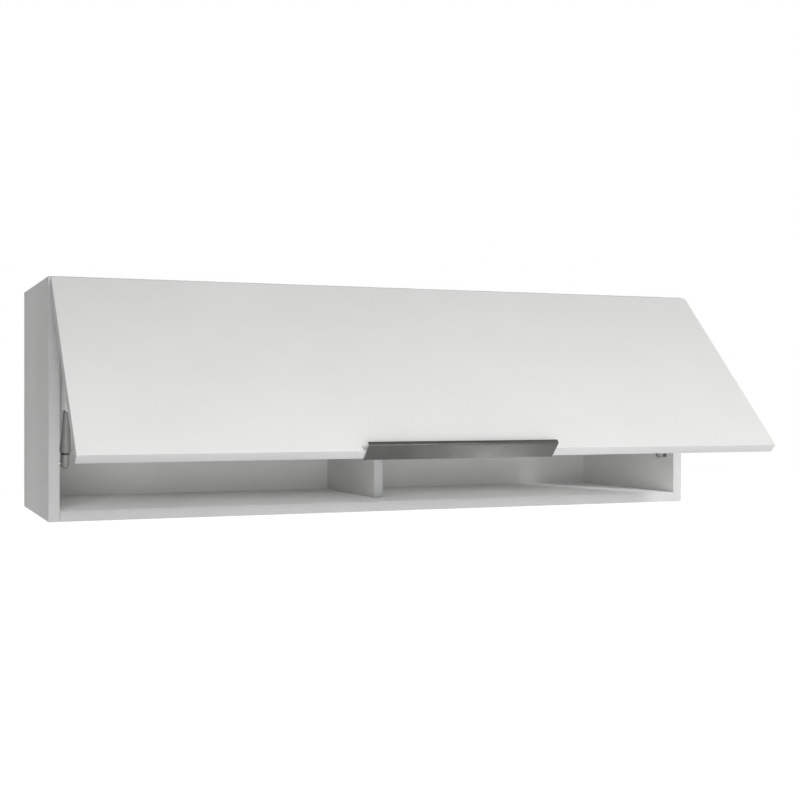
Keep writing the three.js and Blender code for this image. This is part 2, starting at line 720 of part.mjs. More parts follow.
/** The lower bracket: a plate screwed to a side panel, with a ball stud standing on it. */
function footBracket(sign) {
  const wall = sign * innerSide;
  const face = sign * (innerSide - BRACKET_SHEET);
  const [rearY, topZ] = footScrews[footScrews.length - 1];
  const plate = roundedOutline(
    strutFoot.x - FOOT_EDGE,
    strutFoot.y - FOOT_EDGE,
    rearY + FOOT_EDGE,
    topZ + FOOT_EDGE,
    FOOT_CORNER,
  );
  const holes = footScrews.map(([y, z]) =>
    bar([face - sign * RUN_ON, y, z], [wall + sign * RUN_ON, y, z], SCREW_SHANK_RADIUS + FIT),
  );
  return cut(
    join(
      acrossX(plate, Math.min(wall, face), Math.max(wall, face)),
      bar([wall, strutFoot.x, strutFoot.y], [sign * strutX, strutFoot.x, strutFoot.y], STUD_RADIUS),
      ball([sign * strutX, strutFoot.x, strutFoot.y], BALL_RADIUS),
    ),
    ...holes,
  );
}

/** The upper bracket, where the flap is closed: a foot on the flap, an ear and its ball stud. */
function headBracket(sign) {
  const { x: ballY, y: ballZ } = strutHeadClosed;
  const earFace = strutX - EAR_GAP;
  const ear = [sign * (earFace - BRACKET_SHEET), sign * earFace].sort((a, b) => a - b);
  const seat = flapRear + FIT;
  const half = HEAD_BASE_HEIGHT / 2;
  const earSide = new THREE.Shape();
  earSide.moveTo(seat, ballZ + EAR_FOOT / 2);
  earSide.lineTo(seat, ballZ - EAR_FOOT / 2);
  earSide.absarc(ballY, ballZ, EAR_EDGE, -0.4 * Math.PI, 0.4 * Math.PI);
  const innerX = sign * (earFace - HEAD_BASE_WIDTH);
  const screwX = sign * (earFace - BRACKET_SHEET / 2 - HEAD_BASE_WIDTH / 2);
  const holes = [-0.5, 0.5].map((step) => {
    const z = ballZ + step * HEAD_SCREW_PITCH;
    return bar(
      [screwX, seat - RUN_ON, z],
      [screwX, seat + BRACKET_SHEET + RUN_ON, z],
      SCREW_SHANK_RADIUS + FIT,
    );
  });
  return cut(
    join(
      block([innerX, seat, ballZ - half], [sign * earFace, seat + BRACKET_SHEET, ballZ + half]),
      acrossX(earSide, ...ear),
      bar([sign * (earFace - BRACKET_SHEET / 2), ballY, ballZ], [sign * strutX, ballY, ballZ], STUD_RADIUS),
      ball([sign * strutX, ballY, ballZ], BALL_RADIUS),
    ),
    ...holes,
  );
}

/** A ball socket about +Z with its pocket at the origin: a round end below, a turned neck above. */
function ballSocket(neck, openSign) {
  const roundEnd = [0, 1, 2, 3, 4].map((step) => {
    const angle = (step / 4) * (Math.PI / 2);
    return [SOCKET_RADIUS * Math.sin(angle), SOCKET_RADIUS * (1 - Math.cos(angle)) - SOCKET_TIP];
  });
  return cut(
    turned([...roundEnd, ...neck]),
    ball([0, 0, 0], BALL_RADIUS + BALL_PLAY),
    bar([0, 0, 0], [openSign * (SOCKET_RADIUS + RUN_ON), 0, 0], studHole),
  );
}

const rimLow = SOCKET_NECK + GROOVE_WIDTH;
const rimHigh = rimLow + RIM_WIDTH;
const coneTop = rimHigh + CONE_LENGTH;
const boreRadius = ROD_RADIUS + FIT;

/** The neck of the lower socket: a groove, a rim and a long cone bored for the rod. */
const coneNeck = [
  [SOCKET_RADIUS, SOCKET_NECK],
  [GROOVE_RADIUS, SOCKET_NECK],
  [GROOVE_RADIUS, rimLow],
  [RIM_RADIUS, rimLow],
  [RIM_RADIUS, rimHigh],
  [boreRadius + CONE_WALL, coneTop],
  [boreRadius, coneTop],
  [boreRadius, coneTop - ROD_GRIP],
  [0, coneTop - ROD_GRIP],
];

/** The piston rod, up from the cone's bore. */
function pistonRod() {
  const foot = coneTop - ROD_GRIP + FIT;
  return turned([
    [0, foot],
    [ROD_RADIUS, foot],
    [ROD_RADIUS, foot + ROD_LENGTH - ROD_CHAMFER],
    [ROD_RADIUS - ROD_CHAMFER, foot + ROD_LENGTH],
    [0, foot + ROD_LENGTH],
  ]);
}

/** The gas tube, down from the upper socket, open below round the rod. */
function gasTube() {
  const top = -TOP_SOCKET_LENGTH - FIT;
  const bore = TUBE_RADIUS - TUBE_WALL;
  return turned([
    [0, top - TUBE_END_WALL],
    [bore, top - TUBE_END_WALL],
    [bore, top - TUBE_LENGTH],
    [TUBE_RADIUS, top - TUBE_LENGTH],
    [TUBE_RADIUS, top - TUBE_WALL],
    [TUBE_RADIUS - TUBE_WALL, top],
    [0, top],
  ]);
}

for (const { name, sign } of sides) {
  cabinet.add(piece("strut_foot_bracket_" + name, footBracket(sign), zinc));
  footScrews.forEach(([y, z], index) => {
    const fixing = piece("strut_foot_screw_" + name + "_" + (index + 1), screw(SCREW_LENGTH), zinc);
    fixing.position.set(sign * (innerSide - BRACKET_SHEET), y, z);
    fixing.rotation.y = (-sign * Math.PI) / 2;
    cabinet.add(fixing);
  });
  flapGroup.add(piece("strut_head_bracket_" + name, headBracket(sign), zinc));

  const lower = new THREE.Group();
  lower.position.set(sign * strutX, strutFoot.x, strutFoot.y);
  lower.rotation.x = strutLean;
  lower.add(piece("strut_lower_fitting_" + name, ballSocket(coneNeck, sign), greyPlastic));
  lower.add(piece("strut_rod_" + name, pistonRod(), chrome));

  const upper = new THREE.Group();
  upper.position.set(sign * strutX, strutHead.x, strutHead.y);
  upper.rotation.x = strutLean;
  const shank = [
    [SOCKET_RADIUS, TOP_SOCKET_LENGTH],
    [0, TOP_SOCKET_LENGTH],
  ];
  const upperSocket = ballSocket(shank, -sign).rotateX(Math.PI);
  upper.add(piece("strut_upper_fitting_" + name, upperSocket, greyPlastic));
  upper.add(piece("strut_tube_" + name, gasTube(), greyPaint));
  cabinet.add(lower, upper);
}

// ---- Flap, pull and bumpers ---------------------------------------------------------------------

const handleScrews = [-1, 0, 1].map((step) => step * (HANDLE_LENGTH / 2 - HANDLE_SCREW_INSET));
const flangeRear = flapRear + FIT + HANDLE_SHEET;

const cupHoles = sides.map(({ sign }) =>
  bar(
    [sign * hingeX, flapRear - CUP_DEPTH - FIT, cupCentre],
    [sign * hingeX, flapRear + RUN_ON, cupCentre],
    CUP_RADIUS + FIT,
    ROUND,
  ),
);
const handleBores = handleScrews.map((x) =>
  bar(
    [x, flangeRear - SCREW_LENGTH - FIT, flapFoot + HANDLE_SCREW_RISE],
    [x, flapRear + RUN_ON, flapFoot + HANDLE_SCREW_RISE],
    SCREW_SHANK_RADIUS + FIT,
  ),
);
const flapBoard = block([-flapHalf, flapFace, flapFoot], [flapHalf, flapRear, flapTop]);
flapGroup.add(piece("flap_panel", cut(flapBoard, ...cupHoles, ...handleBores), melamine));

/** The pull: a sheet bent twice, behind the flap, under its lower edge and up in front of it. */
function pullProfile() {
  const flangeFront = flapRear + FIT;
  const webTop = flapFoot - FIT;
  const webBottom = webTop - HANDLE_SHEET;
  const lipFront = flapFace - HANDLE_REACH;
  const lipRear = lipFront + HANDLE_SHEET;
  const outer = HANDLE_BEND + HANDLE_SHEET;
  const shape = new THREE.Shape();
  shape.moveTo(flangeFront, flapFoot + HANDLE_FLANGE);
  shape.absarc(flangeFront - HANDLE_BEND, webTop + HANDLE_BEND, HANDLE_BEND, 0, -Math.PI / 2, true);
  shape.absarc(lipRear + HANDLE_BEND, webTop + HANDLE_BEND, HANDLE_BEND, -Math.PI / 2, -Math.PI, true);
  shape.lineTo(lipRear, webBottom + HANDLE_LIP);
  shape.lineTo(lipFront, webBottom + HANDLE_LIP);
  shape.absarc(lipFront + outer, webBottom + outer, outer, Math.PI, 1.5 * Math.PI);
  shape.absarc(flangeRear - outer, webBottom + outer, outer, 1.5 * Math.PI, 2 * Math.PI);
  shape.lineTo(flangeRear, flapFoot + HANDLE_FLANGE);
  return shape;
}

const pull = cut(
  acrossX(pullProfile(), -HANDLE_LENGTH / 2, HANDLE_LENGTH / 2),
  ...handleScrews.map((x) =>
    bar(
      [x, flapRear - RUN_ON, flapFoot + HANDLE_SCREW_RISE],
      [x, flangeRear + RUN_ON, flapFoot + HANDLE_SCREW_RISE],
      SCREW_SHANK_RADIUS + FIT,
    ),
  ),
);
flapGroup.add(piece("handle", pull, aluminium));
handleScrews.forEach((x, index) => {
  const fixing = piece("handle_screw_" + (index + 1), screw(SCREW_LENGTH), zinc);
  fixing.position.set(x, flangeRear + FIT, flapFoot + HANDLE_SCREW_RISE);
  fixing.rotation.x = -Math.PI / 2;
  flapGroup.add(fixing);
});

for (const { name, sign } of sides) {
  const x = sign * (innerSide + BOARD / 2);
  const z = flapFoot + BUMPER_RISE;
  const pad = bar([x, flapRear + FIT, z], [x, front - FIT, z], BUMPER_RADIUS);
  flapGroup.add(piece("bumper_" + name, pad, clearRubber));
}

export default cabinet;
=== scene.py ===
"""Dresses the lift-up wall cabinet: its boards, hinges, gas struts, pull, fixings and studio.

Everything is in metres in the cabinet's own frame: +X right, +Y towards the wall, +Z up, with the
origin at the centre of the back. The flap and what it carries are drawn as they lie when it is
closed, and are then swung to where the frame holds it, half open.
"""

from __future__ import annotations

import logging
import math
from collections.abc import Mapping, Sequence
from dataclasses import dataclass, replace
from enum import Enum
from itertools import pairwise, product

import bpy
from bpy.types import Material, Node, NodeSocket, NodeTree, Object
from mathutils import Matrix, Vector

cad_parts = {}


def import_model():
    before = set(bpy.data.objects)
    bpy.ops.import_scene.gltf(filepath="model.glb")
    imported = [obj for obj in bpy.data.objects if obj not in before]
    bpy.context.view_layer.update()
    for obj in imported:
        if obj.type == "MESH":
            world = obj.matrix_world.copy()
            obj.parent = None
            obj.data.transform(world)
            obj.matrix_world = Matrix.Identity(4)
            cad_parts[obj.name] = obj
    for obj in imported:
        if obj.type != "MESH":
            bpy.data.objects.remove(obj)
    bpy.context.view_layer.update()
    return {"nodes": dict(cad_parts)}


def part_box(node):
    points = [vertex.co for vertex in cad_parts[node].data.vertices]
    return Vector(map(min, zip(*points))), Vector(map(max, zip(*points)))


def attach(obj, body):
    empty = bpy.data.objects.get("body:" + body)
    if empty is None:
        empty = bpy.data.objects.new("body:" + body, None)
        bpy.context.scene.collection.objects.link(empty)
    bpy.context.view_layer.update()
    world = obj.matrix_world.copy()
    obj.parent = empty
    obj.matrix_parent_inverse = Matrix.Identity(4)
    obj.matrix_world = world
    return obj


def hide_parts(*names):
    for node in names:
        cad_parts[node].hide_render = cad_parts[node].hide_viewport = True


log = logging.getLogger("wall_cabinet")

MM = 0.001
MERGE = 1e-6  # vertices closer than this are one
RUN_ON = 2 * MM  # how far a cutting tool runs past the face that it opens
FINE_SIDES = 64  # sides of a turned piece
SMALL_SIDES = 32  # sides of a screw, pin or hole
SCREW_HOLE = 2.05 * MM  # radius of the hole that a small screw goes through
SMOOTH_ANGLE = 35  # degrees up to which a piece is shaded smooth over an edge
PRESSED_ANGLE = 30  # the same on pressed metal
DOME_ANGLE = 50  # and on a bumper's dome
DEBURRED_ANGLE = 60  # degrees over which the edges of bent sheet are rounded off
DOME_RISE = (0.3, 0.6, 0.9, 1.2)  # radians up a bumper's dome at which its profile has points
SQUARE_ON = 0.9  # least share of a face's normal across the board; below it lies an edge
DRIFT_STOPS = (0.35, 0.65)  # values of the noise at which a finish is darkest and lightest
GRAIN_RANGE = (0.3, 0.7)  # values of the noise at which it is smoothest and roughest

Point = tuple[float, float]
Place = tuple[float, float, float]


class Tagged(Enum):
    """Options whose words stand in the names of nodes and bodies."""

    @property
    def tag(self) -> str:
        """The option's word."""
        return self.name.lower()


class Side(Tagged):
    """The two ends of the cabinet, as the sign of X."""

    LEFT = -1
    RIGHT = 1


class Level(Tagged):
    """The two panels that lie between the sides, as the sign of Z."""

    TOP = 1
    BOTTOM = -1


class Body(Enum):
    """The bodies that move apart from each other and aren't paired left and right."""

    CARCASS = "carcass"
    FLAP = "flap"


# ---- Shaping, as at the bench -------------------------------------------------------------------


def pick(*objects: Object) -> None:
    """Select only these objects, in object mode, the first of them active.

    Args:
        objects: What the next operator acts on.
    """
    if bpy.context.object and bpy.context.object.mode != "OBJECT":
        bpy.ops.object.mode_set(mode="OBJECT")
    bpy.ops.object.select_all(action="DESELECT")
    for obj in objects:
        obj.select_set(True)
    if objects:
        bpy.context.view_layer.objects.active = objects[0]


def settle(obj: Object) -> Object:
    """Put an object's place, turn and scale into its mesh.

    Args:
        obj: The object.

    Returns:
        The same object, untransformed.
    """
    pick(obj)
    bpy.ops.object.transform_apply(location=True, rotation=True, scale=True)
    return obj


def name_piece(obj: Object, name: str) -> Object:
    """Give an object and its mesh one name."""
    obj.name = obj.data.name = name
    return obj


def turn(degrees: float, axis: str) -> Matrix:
    """A turn about one of the axes."""
    return Matrix.Rotation(math.radians(degrees), 4, axis)


def at(*place: float) -> Matrix:
    """A shift from the origin to a place."""
    return Matrix.Translation(place)


def laid(level: Level) -> Matrix:
    """The turn that faces a fixing drawn about +Z out of the top or the bottom panel."""
    return turn(0 if level is Level.TOP else 180, "X")


def shade_smooth(degrees: float) -> None:
    """Shade what is selected smooth, but for its edges sharper than an angle."""
    bpy.ops.object.shade_smooth_by_angle(angle=math.radians(degrees))


def block(low: Sequence[float], high: Sequence[float]) -> Object:
    """Add a box between two corners.

    Args:
        low: One corner.
        high: The opposite one, on either side of the first.

    Returns:
        The box.
    """
    pick()
    middle = (Vector(low) + Vector(high)) / 2
    size = [abs(b - a) for a, b in zip(low, high)]
    bpy.ops.mesh.primitive_cube_add(size=1, location=middle, scale=size)
    return settle(bpy.context.object)


def bar(start: Sequence[float], end: Sequence[float], radius: float, tip: float = -1) -> Object:
    """Add a round bar between two points.

    Args:
        start: The middle of one end.
        end: The middle of the other.
        radius: Of the bar, or of its start where it tapers.
        tip: Radius of its end, where that differs.

    Returns:
        The bar.
    """
    pick()
    along = Vector(end) - Vector(start)
    bpy.ops.mesh.primitive_cone_add(
        vertices=SMALL_SIDES,
        radius1=radius,
        radius2=radius if tip < 0 else tip,
        depth=along.length,
        location=Vector(start) + along / 2,
        rotation=Vector((0, 0, 1)).rotation_difference(along).to_euler(),
    )
    return settle(bpy.context.object)


def drill(obj: Object, axis: int, place: Place, span: Point, radius: float) -> Object:
    """Bore a round hole along one of the axes.

    Args:
        obj: What is bored.
        axis: 0, 1 or 2 for X, Y or Z.
        place: A point on the hole's centre line.
        span: Where the hole starts and ends on that axis.
        radius: Of the hole.

    Returns:
        The same object.
    """
    start, end = list(place), list(place)
    start[axis], end[axis] = span
    return combine(obj, bar(start, end, radius))


def draw_line(points: Sequence[Place]) -> Object:
    """Draw an open line of edges from point to point.

    Args:
        points: The points in order.

    Returns:
        The line, left in edit mode with all of it selected.
    """
    pick()
    bpy.ops.mesh.primitive_plane_add(size=MM)
    bpy.ops.object.mode_set(mode="EDIT")
    bpy.ops.mesh.merge(type="CENTER")
    bpy.ops.transform.translate(value=points[0])
    for here, there in pairwise(points):
        step = Vector(there) - Vector(here)
        bpy.ops.mesh.extrude_region_move(TRANSFORM_OT_translate={"value": step})
    bpy.ops.mesh.select_all(action="SELECT")
    return bpy.context.object


def close_up() -> None:
    """Merge doubles, face the surface outwards and leave edit mode."""
    bpy.ops.mesh.select_all(action="SELECT")
    bpy.ops.mesh.remove_doubles(threshold=MERGE)
    bpy.ops.mesh.normals_make_consistent(inside=False)
    bpy.ops.object.mode_set(mode="OBJECT")


def turned(profile: Sequence[Point], sides: int = FINE_SIDES) -> Object:
    """Spin a profile about Z.

    Args:
        profile: (radius, height) points, from the axis and back to it, or closed on themselves.
        sides: Facets of the full circle.

    Returns:
        The closed piece, about the Z axis.
    """
    obj = draw_line([(radius, 0, height) for radius, height in profile])
    bpy.ops.mesh.spin(steps=sides, angle=math.tau, center=(0, 0, 0), axis=(0, 0, 1))
    close_up()
    return obj


def sawn(outline: Sequence[Place], depth: Sequence[float]) -> Object:
    """Fill a flat outline and extrude it by a vector.

    Args:
        outline: Its corners in order, in one plane.
        depth: How far and which way it is extruded.

    Returns:
        The closed piece.
    """
    obj = draw_line(outline)
    bpy.ops.mesh.edge_face_add()
    bpy.ops.mesh.select_all(action="SELECT")
    bpy.ops.mesh.extrude_region_move(TRANSFORM_OT_translate={"value": depth})
    close_up()
    return obj


def arc(centre: Point, radius: float, start: float, end: float, steps: int = 8) -> list[Point]:
    """Points round part of a circle, both ends included, with angles in degrees."""
    angles = [math.radians(start + (end - start) * step / steps) for step in range(steps + 1)]
    return [(centre[0] + radius * math.cos(a), centre[1] + radius * math.sin(a)) for a in angles]


def rounded(low: Point, high: Point, radius: float) -> list[Point]:
    """Draw a rectangle with round corners.

    Args:
        low: Its lower left corner.
        high: Its upper right one.
        radius: Of its corners.

    Returns:
        The outline's points, counterclockwise.
    """
    (a0, b0), (a1, b1) = low, high
    corners = [(a1 - radius, b0 + radius), (a1 - radius, b1 - radius)]
    corners += [(a0 + radius, b1 - radius), (a0 + radius, b0 + radius)]
    quarters = zip(corners, (-90, 0, 90, 180))
    return [p for centre, start in quarters for p in arc(centre, radius, start, start + 90)]


def combine(obj: Object, tool: Object, how: str = "DIFFERENCE") -> Object:
    """Cut a tool out of an object, or join it on, and use the tool up.

    Args:
        obj: The object.
        tool: The tool.
        how: DIFFERENCE to cut it out, UNION to join it on.

    Returns:
        The same object.
    """
    pick(obj)
    cutter = obj.modifiers.new("cut", "BOOLEAN")
    cutter.operation, cutter.object, cutter.solver = how, tool, "EXACT"
    bpy.ops.object.modifier_apply(modifier=cutter.name)
    discard(tool)
    return obj


def fuse(obj: Object, *others: Object) -> Object:
    """Join solids on to an object, one after another.

    Args:
        obj: The first solid.
        others: The others.

    Returns:
        The first one, grown.
    """
    for other in others:
        combine(obj, other, "UNION")
    return obj


def ease(obj: Object, width: float, segments: int = 2, angle: float = 40) -> Object:
    """Round off a piece's sharp edges and shade it smooth.

    Args:
        obj: The piece.
        width: How far from its edges the rounding starts.
        segments: Facets across it.
        angle: Degrees over which an edge is rounded off.

    Returns:
        The same piece.
    """
    pick(obj)
    rounding = obj.modifiers.new("ease", "BEVEL")
    rounding.width, rounding.segments = width, segments
    rounding.limit_method, rounding.angle_limit = "ANGLE", math.radians(angle)
    bpy.ops.object.modifier_apply(modifier=rounding.name)
    shade_smooth(SMOOTH_ANGLE)
    return obj


def bent(points: Sequence[Place], width: float, fold: float, radius: float, steps: int) -> Object:
    """Extrude a line along X to a strip and round its folds.

    Args:
        points: The strip's side view, at its left end.
        width: Its width along X.
        fold: The height at which its folds lie.
        radius: How far from its corner a fold's curve starts.
        steps: Facets of each curve.

    Returns:
        The strip, still without thickness.
    """
    strip = draw_line(points)
    bpy.ops.mesh.extrude_region_move(TRANSFORM_OT_translate={"value": (width, 0, 0)})
    bpy.ops.object.mode_set(mode="OBJECT")
    for edge in strip.data.edges:
        start, end = (strip.data.vertices[i].co for i in edge.vertices)
        at_fold = max(abs(start.z - fold), abs(end.z - fold)) < MERGE
        edge.select = at_fold and abs(start.y - end.y) < MERGE
    bpy.ops.object.mode_set(mode="EDIT")
    bpy.ops.mesh.bevel(offset=radius, segments=steps, profile=0.5)
    close_up()
    return strip


def thicken(strip: Object, thickness: float) -> Object:
    """Give a strip its thickness, half to each side.

    Args:
        strip: The strip.
        thickness: Of its metal.

    Returns:
        The same object, now closed.
    """
    wall = strip.modifiers.new("sheet", "SOLIDIFY")
    wall.thickness, wall.offset, wall.use_even_offset = thickness, 0, True
    bpy.ops.object.modifier_apply(modifier=wall.name)
    return strip


def copy_of(obj: Object) -> Object:
    """Copy an object with a mesh of its own.

    Args:
        obj: The pattern.

    Returns:
        The copy.
    """
    pick(obj)
    bpy.ops.object.duplicate(linked=False)
    return bpy.context.object


def discard(*objects: Object) -> None:
    """Remove patterns and tools that are used up."""
    pick(*objects)
    bpy.ops.object.delete()


def move(obj: Object, matrix: Matrix) -> Object:
    """Carry an object's mesh through a matrix."""
    obj.matrix_world = matrix @ obj.matrix_world
    return settle(obj)


def mirrored(obj: Object) -> Object:
    """Copy a left-hand piece to the right, faced outwards again.

    Args:
        obj: The left-hand piece.

    Returns:
        Its right-hand twin.
    """
    twin = copy_of(obj)
    bpy.ops.object.mode_set(mode="EDIT")
    bpy.ops.mesh.select_all(action="SELECT")
    bpy.ops.transform.resize(value=(-1, 1, 1), center_override=(0, 0, 0))
    bpy.ops.mesh.normals_make_consistent(inside=False)
    bpy.ops.object.mode_set(mode="OBJECT")
    return twin


# ---- Finishes -----------------------------------------------------------------------------------


def tint(sheet: str) -> tuple[float, float, float, float]:
    """Turn an sRGB hex value into Blender's linear RGBA.

    Args:
        sheet: The value, such as #dededc.

    Returns:
        Red, green, blue and full opacity.
    """
    channels = [int(sheet[i : i + 2], 16) / 255 for i in (1, 3, 5)]
    linear = [c / 12.92 if c <= 0.04045 else ((c + 0.055) / 1.055) ** 2.4 for c in channels]
    return (linear[0], linear[1], linear[2], 1.0)


def add_node(
    tree: NodeTree,
    kind: str,
    settings: Mapping[str, object] | None = None,
    inputs: Mapping[str | int, object] | None = None,
) -> Node:
    """Add a node to a tree, with its settings and its inputs.

    Args:
        tree: The node tree of a material or the world.
        kind: The node's type name.
        settings: Properties of the node itself.
        inputs: Input values by name or number; another node's output is linked instead.

    Returns:
        The new node.
    """
    node = tree.nodes.new(kind)
    for key, value in (settings or {}).items():
        setattr(node, key, value)
    for key, value in (inputs or {}).items():
        if isinstance(value, NodeSocket):
            tree.links.new(value, node.inputs[key])
        else:
            node.inputs[key].default_value = value
    return node


@dataclass(frozen=True)
class Finish:
    """A real surface: its colours, its gloss and the relief that its making leaves."""

    name: str  # the finish in a maker's words, which names the material
    slot: str  # the record's material slot named for this finish; not used
    dark: str  # the darker of the two sRGB colours that the surface drifts between
    light: str  # the lighter one
    drift: float  # size in millimetres of the patches of colour
    grain: float  # size in millimetres of the relief's grain
    relief: float  # height in millimetres of the relief
    roughness: Point  # the least and the greatest roughness
    stretch: Place = (1, 1, 1)  # how many times longer than wide the grain is, along X, Y and Z
    metallic: float = 0.0  # 1 on metal
    coat: float = 0.0  # weight of a clear coat
    transmission: float = 0.0  # how much light a clear material lets through
    anisotropic: float = 0.0  # how far a brushed metal draws its highlight out
    specular: float = 0.5  # strength of the reflection at the surface; 0.5 is the plain dielectric
    sheen: float = 0.0  # how far it pales at a low angle
    chalk: float = 0.0  # how far it throws light back towards the lamps

    def material(self) -> Material:
        """Make the material once, and hand back the same one after that.

        Returns:
            The material.
        """
        made = bpy.data.materials.get(self.name)
        if made:
            return made
        made = bpy.data.materials.new(self.name)
        made.use_nodes = True
        tree = made.node_tree
        shader = tree.nodes["Principled BSDF"]
        constants = {
            "Metallic": self.metallic,
            "Coat Weight": self.coat,
            "Transmission Weight": self.transmission,
            "Anisotropic": self.anisotropic,
            "Specular IOR Level": self.specular,
            "Sheen Weight": self.sheen,
            "Diffuse Roughness": self.chalk,
        }
        for key, value in constants.items():
            shader.inputs[key].default_value = value
        place = add_node(tree, "ShaderNodeTexCoord").outputs["Object"]
        squeeze = tuple(1 / share for share in self.stretch)
        along = add_node(tree, "ShaderNodeMapping", inputs={"Vector": place, "Scale": squeeze})
        size = {"Scale": 1 / (self.drift * MM), "Detail": 3.0, "Roughness": 0.6}
        patches = add_node(tree, "ShaderNodeTexNoise", inputs={"Vector": place, **size})
        size = {"Scale": 1 / (self.grain * MM), "Detail": 2.0}
        grain = add_node(tree, "ShaderNodeTexNoise", inputs={"Vector": along.outputs[0], **size})
        ramp = add_node(tree, "ShaderNodeValToRGB", inputs={"Fac": patches.outputs[0]})
        stops = zip(ramp.color_ramp.elements, DRIFT_STOPS, (self.dark, self.light))
        for stop, where, colour in stops:
            stop.position, stop.color = where, tint(colour)
        gloss = add_node(
            tree,
            "ShaderNodeMapRange",
            # In order: value, from its least and greatest, to its least and greatest.
            inputs=dict(enumerate((grain.outputs[0], *GRAIN_RANGE, *self.roughness))),
        )
        bump = add_node(
            tree,
            "ShaderNodeBump",
            inputs={"Height": grain.outputs[0], "Distance": self.relief * MM, "Strength": 1.0},
        )
        tree.links.new(ramp.outputs[0], shader.inputs["Base Color"])
        tree.links.new(gloss.outputs[0], shader.inputs["Roughness"])
        tree.links.new(bump.outputs[0], shader.inputs["Normal"])
        return made

    def dress(self, *objects: Object) -> None:
        """Give objects this finish alone.

        Args:
            objects: What takes the finish.
        """
        for obj in objects:
            obj.data.materials.clear()
            obj.data.materials.append(self.material())


# Melamine paper pressed on particle board against a pearl plate: an even cool white with a satin
# sheen, broken by pebbles 0.3 mm across that are drawn at 0.9 mm so that they show.
MELAMINE = Finish(
    name="white_melamine_board",
    slot="white_melamine",
    dark="#ebebe9",
    light="#eeeeed",
    drift=180,
    grain=0.9,
    relief=0.012,
    roughness=(0.40, 0.50),
    specular=0.45,
)

# The same paper on the board that things stand on, painted lighter as painted light on the bay
# floors, with a pale sheen at a low angle.
LIGHTENED_SHELF_MELAMINE = replace(
    MELAMINE,
    name="white_shelf_melamine",
    dark="#f6f6f5",
    light="#f8f8f7",
    roughness=(0.30, 0.40),
    specular=0.5,
    sheen=1.0,
    chalk=1.0,
)

# Extruded ABS edge banding, glued on, trimmed and scraped, with faint scraper lines along the edge.
# Its colour is a shade cooler than the faces and painted darker: painted shade on every banded
# edge.
SHADED_EDGE_BAND = replace(
    MELAMINE,
    name="white_abs_edge_band",
    dark="#cecece",
    light="#d1d1d2",
    drift=90,
    grain=0.8,
    stretch=(30, 1, 30),
    relief=0.006,
    specular=0.35,
)

# Hardboard with a rolled white lacquer: flatter than melamine, with a slight orange peel.
HARDBOARD = Finish(
    name="white_lacquered_hardboard",
    slot="back_hardboard",
    dark="#e8e8e6",
    light="#ececea",
    drift=120,
    grain=1.6,
    relief=0.02,
    roughness=(0.48, 0.6),
)

# Anodised aluminium sheet, brushed along its length before it was bent: long fine scratches and a
# highlight drawn out across them. The scratches are 0.05 mm apart and drawn at 0.5 mm.
# Its colour is painted dark, as painted shade for the darker surroundings seen in its reflection.
DARKENED_BRUSHED_ALUMINIUM = Finish(
    name="brushed_anodised_aluminium",
    slot="pull_aluminium",
    dark="#4c4c4b",
    light="#545452",
    drift=40,
    grain=0.5,
    stretch=(120, 1, 1),
    relief=0.004,
    roughness=(0.32, 0.40),
    metallic=1.0,
    anisotropic=0.5,
)

# Pressed steel with bright nickel plate: smooth, slightly warm, with faint drawing marks.
NICKEL_PLATE = Finish(
    name="nickel_plated_steel",
    slot="hinge_nickel",
    dark="#b4b2ac",
    light="#c0beb8",
    drift=12,
    grain=0.7,
    stretch=(1, 8, 1),
    relief=0.004,
    roughness=(0.2, 0.3),
    metallic=1.0,
)

# Zinc plate with a blue passivation over pressed or turned steel: greyer, matt in patches.
ZINC_PLATE = Finish(
    name="zinc_plated_steel",
    slot="zinc_steel",
    dark="#9fa2a6",
    light="#b3b4b3",
    drift=6,
    grain=0.8,
    relief=0.006,
    roughness=(0.32, 0.46),
    metallic=1.0,
)

# Hard chrome on a ground steel rod: a mirror with hardly visible grinding rings.
HARD_CHROME = Finish(
    name="hard_chromed_rod",
    slot="strut_rod_chrome",
    dark="#a3a4a6",
    light="#acadad",
    drift=20,
    grain=0.4,
    stretch=(20, 20, 1),
    relief=0.001,
    roughness=(0.06, 0.12),
    metallic=1.0,
)

# Stoving enamel sprayed on a drawn steel tube: off-white with a fine orange peel.
PALE_ENAMEL = Finish(
    name="pale_stoving_enamel",
    slot="strut_tube_paint",
    dark="#cfcfcd",
    light="#d5d5d3",
    drift=25,
    grain=1.2,
    relief=0.015,
    roughness=(0.32, 0.42),
    coat=0.15,
)

# Moulded acetal, glass filled: mid grey, satin, with a fine spark-eroded grain.
GREY_ACETAL = Finish(
    name="moulded_grey_acetal",
    slot="strut_end_plastic",
    dark="#838482",
    light="#8c8d8b",
    drift=15,
    grain=0.5,
    relief=0.004,
    roughness=(0.20, 0.28),
)

# A near-black ring set in the lower fitting's groove: painted shade that stands in for the shadow
# under the rim, with an oily satin gloss.
GROOVE_SHADE_BLACK = replace(
    GREY_ACETAL,
    name="painted_groove_shade",
    dark="#141414",
    light="#1c1c1c",
    drift=8,
    roughness=(0.4, 0.5),
)

# Cast polyurethane: clear and slightly milky, domed, with a soft gloss.
CLEAR_RUBBER = Finish(
    name="clear_polyurethane",
    slot="bumper_clear",
    dark="#d6d7d4",
    light="#e0e1de",
    drift=5,
    grain=1.0,
    relief=0.01,
    roughness=(0.18, 0.3),
    transmission=0.6,
)


def face_by_normal(obj: Object, across: int, faces: Finish = MELAMINE) -> None:
    """Give a board one finish on its two faces and band all its edges.

    Args:
        obj: The board.
        across: The axis through its thickness: 0, 1 or 2.
        faces: The finish of the two broad faces.
    """
    faces.dress(obj)
    # The edges take the banding whose darker colour is painted shade.
    obj.data.materials.append(SHADED_EDGE_BAND.material())
    for polygon in obj.data.polygons:
        polygon.material_index = 0 if abs(polygon.normal[across]) > SQUARE_ON else 1


